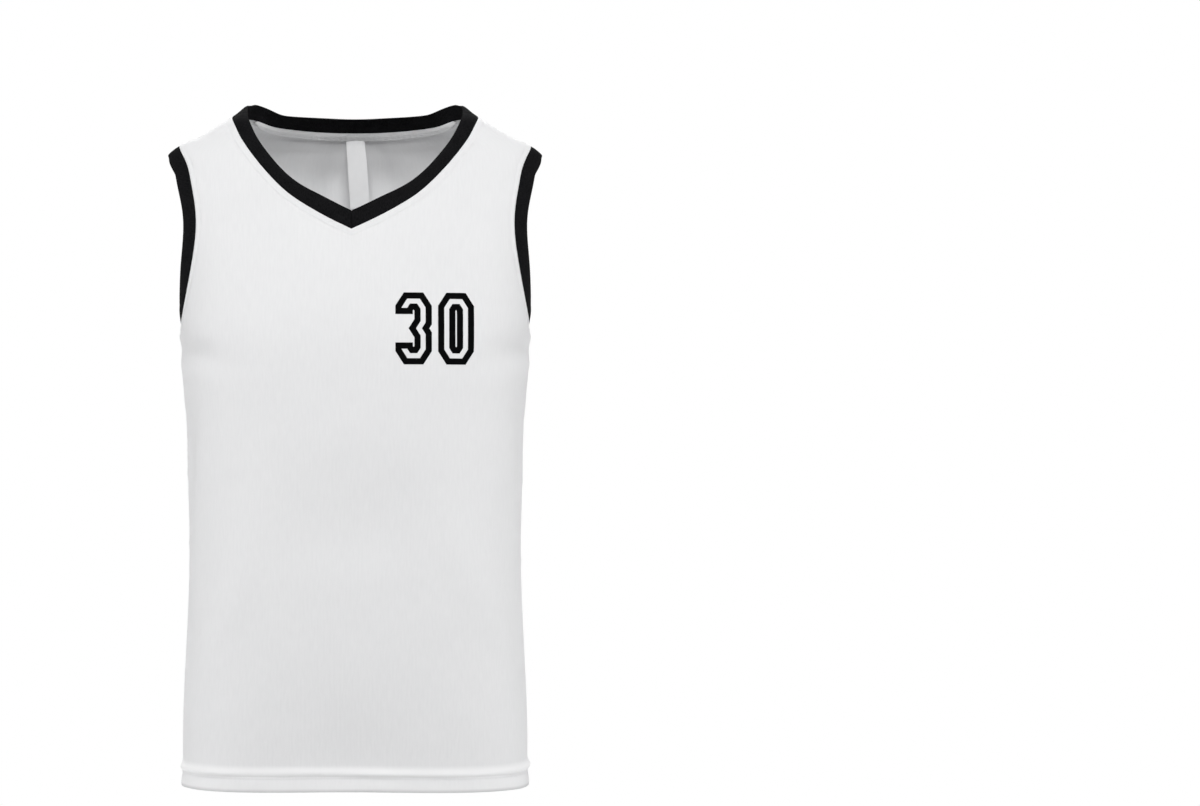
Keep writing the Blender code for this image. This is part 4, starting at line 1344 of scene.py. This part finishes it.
def build_label(back, material):
    """A strip of woven label folded at its foot into two leaves, both sewn in at the top."""
    width, length = LABEL_SIZE
    share = np.linspace(0, 1, LABEL_ROWS)
    fold = np.linspace(0, math.pi, LABEL_FOLD_ROWS)[1:-1]
    # Down the near leaf, round the fold at the foot and up the hidden leaf
    drop = np.concatenate((share * length, length + np.sin(fold) * LEAF_GAP / 2,
                           share[::-1] * length))
    near = np.concatenate((np.ones(LABEL_ROWS), (1 + np.cos(fold)) / 2, np.zeros(LABEL_ROWS)))
    at = np.clip(drop / length, 0, 1)
    bow = LABEL_BOW * np.sin(math.pi * at) + LABEL_LEAN * at
    tuck = np.clip(at / LABEL_TUCK, 0, 1)
    ahead = LABEL_CLEAR + bow + near * LEAF_GAP * tuck + LABEL_WAVE * np.sin(9 * at + 2 * near)
    shift = (1 - near) * LEAF_SHIFT * np.clip(at * 3, 0, 1)
    spread = np.linspace(-0.5, 0.5, LABEL_COLUMNS)
    curl = (spread ** 2 - 0.25) * 4 * LABEL_CURL
    top = label_foot(back)
    cos, sin = math.cos(LABEL_TILT), math.sin(LABEL_TILT)
    below = SEAM_GAP + width / 2 * sin + drop
    aside = spread[None] * width + shift[:, None]
    x = aside * cos + below[:, None] * sin
    z = aside * sin - below[:, None] * cos
    y = curl[None] - ahead[:, None]
    middle = top + np.stack((x, np.broadcast_to(y, x.shape), z), axis=-1)
    half_cloth = unit(np.cross(np.gradient(middle, axis=1), np.gradient(middle, axis=0)))
    half_cloth = half_cloth * LABEL_CLOTH / 2
    path = chord_knots(middle[:, LABEL_COLUMNS // 2])
    leaves = shell(middle - half_cloth, middle + half_cloth, paired(spread * width, path[:, None]))
    new_piece("woven_label", leaves, material, crease=80, node="label")


# ---- printed numbers

# A numeral is the middle line of a broad stroke in a cell 1 wide and 2 high, which is printed
# as an outline.  Its corners are cut off as in plain block figures.
NUMERALS = {
    "3": (False, ((0, 1.52), (0, 1.74), (0.24, 2), (0.76, 2), (1, 1.74), (1, 1.24), (0.78, 1),
                  (1, 0.76), (1, 0.26), (0.76, 0), (0.24, 0), (0, 0.26), (0, 0.48))),
    "0": (True, ((0.24, 0), (0, 0.26), (0, 1.74), (0.24, 2), (0.76, 2), (1, 1.74), (1, 0.26),
                 (0.76, 0))),
}
NUMBER = "30"
# Numbers: behind, middle across, foot height, width, height, stroke, line across and up
FRONT_NUMBER = (False, 82.3, 442.5, 81.8, 74.5, 18.0, 6.4)
BACK_NUMBER = (True, 0.0, 292.5, 189.0, 170.5, 37.0, 12.8)
DIGIT_GAP = 0.08               # share of the number's width between its digits
PRINT_STEP = 2.5               # mesh size of the print, in millimetres
PRINT_STRIPS = 3               # across a printed line
SHARPEST = 0.3                 # least cosine at which a corner is mitred in full
PRINT_RISE = 0.17 * MM
PRINT_SINK = -0.12 * MM


def offset_outline(line, ring, aside, shorten):
    """A polyline moved aside, its corners mitred and its free ends pulled in."""
    if ring:
        before = unit(line - np.roll(line, 1, axis=0))
        after = unit(np.roll(line, -1, axis=0) - line)
    else:
        along = unit(np.diff(line, axis=0))
        before = np.concatenate((along[:1], along))
        after = np.concatenate((along, along[-1:]))
    left = unit(paired(-before[:, 1] - after[:, 1], before[:, 0] + after[:, 0]))
    beside = paired(-after[:, 1], after[:, 0])
    cosine = np.clip((left * beside).sum(1), SHARPEST, 1)
    moved = line + left * (aside / cosine)[:, None]
    if not ring:
        moved[0] += after[0] * shorten
        moved[-1] -= before[-1] * shorten
    return moved


def numeral_bands(line, ring, stroke, width):
    """Pairs of closed outlines between which a numeral is printed."""
    half = stroke / 2
    if ring:
        return [tuple(offset_outline(line, True, side * (half - cut), 0.0) for cut in (0, width))
                for side in (1, -1)]
    rings = []
    for cut in (0.0, width):
        left = offset_outline(line, False, half - cut, cut)
        right = offset_outline(line, False, cut - half, cut)
        rings.append(np.concatenate((left, right[::-1])))
    return [tuple(rings)]


def on_cloth(across, height, behind):
    """Points and normals of the cloth at places given as seen from the front or the back."""
    station = station_at(height)
    turn = turn_at_width(across, station, behind) + (2 if behind else 0)
    points, normal = creased_cloth(turn, station)
    return points, normal, cloth_map(turn, height)


def print_band(outside, inside, behind):
    """Outer and inner points and map of the print between two closed outlines."""
    share = np.linspace(0, 1, PRINT_STRIPS + 1)[:, None, None]
    ends = []
    for start, end, inner_start, inner_end in zip(outside, np.roll(outside, -1, axis=0),
                                                  inside, np.roll(inside, -1, axis=0)):
        count = max(1, round(np.linalg.norm(end - start) / PRINT_STEP))
        for k in range(count):
            at = k / count
            ends.append((start + (end - start) * at, inner_start + (inner_end - inner_start) * at))
    ends = np.array(ends)
    flat = ends[:, 0] * (1 - share) + ends[:, 1] * share
    points, normal, uv = on_cloth(flat[..., 0], flat[..., 1], behind)
    return points + normal * PRINT_RISE, points + normal * PRINT_SINK, uv


def faces_outward(outer, inner):
    """Whether the faces of a shell's outer grid look away from its inner one."""
    corner, beside, above = outer[0, 0], outer[0, 1], outer[1, 0]
    return float(np.cross(beside - corner, above - corner) @ (corner - inner[0, 0])) > 0


def build_number(name, layout, material):
    """A number printed on the cloth as outlined block figures."""
    behind, middle, foot, width, height, stroke, line_width = layout
    cell = (width * (1 - DIGIT_GAP * (len(NUMBER) - 1))) / len(NUMBER)
    points, faces, maps, first = [], [], [], 0
    for index, figure in enumerate(NUMBER):
        ring, line = NUMERALS[figure]
        line = np.array(line) * ((cell - stroke), (height - stroke) / 2) + stroke / 2
        line = line + (middle - width / 2 + index * (cell + DIGIT_GAP * width), foot)
        for outside, inside in numeral_bands(line, ring, stroke, line_width):
            grids = print_band(outside, inside, behind)
            band_points, band_faces, band_map = shell(*grids, ring=True)
            if not faces_outward(*grids[:2]):
                band_faces = band_faces[:, ::-1]
            points.append(band_points)
            faces.append(band_faces + first)
            maps.append(band_map)
            first += len(band_points)
    whole = [np.concatenate(parts) for parts in (points, faces, maps)]
    return new_piece(name, whole, material, crease=60)


# ---- camera, lights and floor

CAMERA_PLACE = (0.0, -3.05, -0.3425)
CAMERA_LENS = 85.0
CAMERA_SENSOR = 36.0
CAMERA_SHIFT = (0.204, 0.039)


def stand(name, data, location, rotation):
    """A camera or a lamp in its place in the scene."""
    holder = bpy.data.objects.new(name, data)
    holder.location = location
    holder.rotation_euler = rotation
    bpy.context.scene.collection.objects.link(holder)
    return holder


def build_camera():
    """Level camera in front of the garment, framed with the garment left of the middle."""
    camera = bpy.data.cameras.new("camera")
    camera.lens = CAMERA_LENS
    camera.sensor_width = CAMERA_SENSOR
    camera.shift_x, camera.shift_y = CAMERA_SHIFT
    bpy.context.scene.camera = stand("camera", camera, CAMERA_PLACE, (math.pi / 2, 0, 0))


# Soft square lamps on a sphere round the garment: degrees from the front and above level, and
# watts; every lamp but the front and back one has a twin on the other side.
LAMPS = (
    # name, turn, elevation, power
    ("front", 0, 50, 65),
    ("back", 180, 50, 62),
    ("side", 90, 5, 19.5),
    ("level_front", 65, 5, 5),
    ("level_back", 115, 5, 5),
    ("low_front", 35, -25, 18.5),
    ("low_side_front", 65, -25, 6),
    ("low_side_back", 115, -25, 6),
    ("low_back", 145, -25, 19),
)
LAMP_TARGET = Vector((0.0, 0.0, -0.33))
LAMP_DISTANCE = 2.9
LAMP_SIZE = 1.6
AMBIENT = 0.02                 # strength of the backdrop as a light
BACKGROUND = 1.0               # and as it is seen
FLOOR_LEVEL = -1.02
FLOOR_RADIUS = 1.7
FLOOR_SIDES = 96
FLOOR_COLOUR = (0.86, 0.86, 0.865, 1)
FLOOR_ROUGHNESS = 0.7
FLOOR_FADE = (0.02, 0.5)       # shares of the radius, from the rim, between which it fades in


def add_lamp(name, turn, elevation, power):
    """A square lamp that faces the garment."""
    lamp = bpy.data.lights.new(name, "AREA")
    lamp.size = LAMP_SIZE
    lamp.energy = power
    turn, elevation = math.radians(turn), math.radians(elevation)
    aim = Vector((-math.sin(turn) * math.cos(elevation), math.cos(turn) * math.cos(elevation),
                  -math.sin(elevation)))
    stand(name, lamp, LAMP_TARGET - aim * LAMP_DISTANCE, aim.to_track_quat("-Z", "Y").to_euler())


def build_lamps():
    """All lamps, with the twins of those that stand aside."""
    for name, turn, elevation, power in LAMPS:
        if turn % 180:
            add_lamp(f"left_{name}", turn, elevation, power)
            add_lamp(f"right_{name}", -turn, elevation, power)
        else:
            add_lamp(name, turn, elevation, power)


def build_world():
    """White studio backdrop that lights the garment more softly than it shows."""
    world = bpy.data.worlds.new("studio")
    bpy.context.scene.world = world
    world.use_nodes = True
    tree = world.node_tree
    tree.nodes.clear()
    seen = add_node(tree, "LightPath", {}).outputs["Is Camera Ray"]
    sources = {0: seen}
    for number, strength in enumerate((AMBIENT, BACKGROUND), 1):
        light = add_node(tree, "Background", {"Color": (1, 1, 1, 1), "Strength": strength})
        sources[number] = light.outputs["Background"]
    mix = add_node(tree, "MixShader", sources)
    add_node(tree, "OutputWorld", {"Surface": mix.outputs["Shader"]})
    bpy.context.scene.view_settings.view_transform = "Standard"
    bpy.context.scene.view_settings.look = "None"


def build_floor():
    """Pale round floor that fades out into the backdrop."""
    bpy.ops.mesh.primitive_circle_add(vertices=FLOOR_SIDES, radius=FLOOR_RADIUS, fill_type="NGON",
                                      location=(0, 0, FLOOR_LEVEL))
    floor = bpy.context.object
    floor.name = "floor"
    material = bpy.data.materials.new("pale_floor")
    material.use_nodes = True
    tree = material.node_tree
    place = add_node(tree, "TexCoord", {}).outputs["Object"]
    inputs = {"Vector": place, "Scale": (1 / FLOOR_RADIUS,) * 3}
    fall = add_node(tree, "TexGradient",
                    {"Vector": add_node(tree, "Mapping", inputs).outputs["Vector"]})
    fall.gradient_type = "SPHERICAL"
    ramp = add_node(tree, "ValToRGB", {"Fac": fall.outputs["Fac"]})
    for element, share in zip(ramp.color_ramp.elements, FLOOR_FADE):
        element.position = share
    set_inputs(tree, tree.nodes["Principled BSDF"], {
        "Base Color": FLOOR_COLOUR, "Roughness": FLOOR_ROUGHNESS, "Alpha": ramp.outputs["Color"]})
    floor.data.materials.append(material)


# ---- assembly


def build_cloth(name, panel, node, material):
    """A panel's shell of knit."""
    mesh_data = shell(panel.outer, panel.inner, panel.map)
    return new_piece(name, mesh_data, material, node=node)


def build_stitches(front, back, material):
    """The stitches along the neck, the armholes and the hem."""
    panels = (front, back)
    build_edge_stitches("neck_stitches", neck_loop(front, back), NECK_STITCH * MM, panels,
                        material, mitred=True)
    for name, on_left in (("left_arm_stitches", True), ("right_arm_stitches", False)):
        build_edge_stitches(name, arm_loop(front, back, on_left), ARM_STITCH * MM, panels,
                            material)
    for number, groove in enumerate(HEM_GROOVES, 1):
        build_hem_stitches(f"hem_stitches_{number}", groove[0], material)


def main():
    """The garment and the studio."""
    build_camera()
    front, back = Panel(behind=False), Panel(behind=True)
    knit, rib, white, ink = knit_material(), rib_material(), thread_material(), print_material()
    front_piece = build_cloth("front_cloth", front, "front_panel", knit)
    back_piece = build_cloth("back_cloth", back, "back_panel", knit)
    build_neckband(front, back, rib)
    build_armband("left_arm_ribbing", "armband_left", True, front, back, rib)
    build_armband("right_arm_ribbing", "armband_right", False, front, back, rib)
    build_overlocks(front, back, white)
    build_tape(back, tape_material())
    build_label(back, label_material())
    build_tape_stitches(back, white)
    build_stitches(front, back, white)
    front_number = build_number("front_number", FRONT_NUMBER, ink)
    back_number = build_number("back_number", BACK_NUMBER, ink)
    build_floor()
    build_lamps()
    build_world()


main()
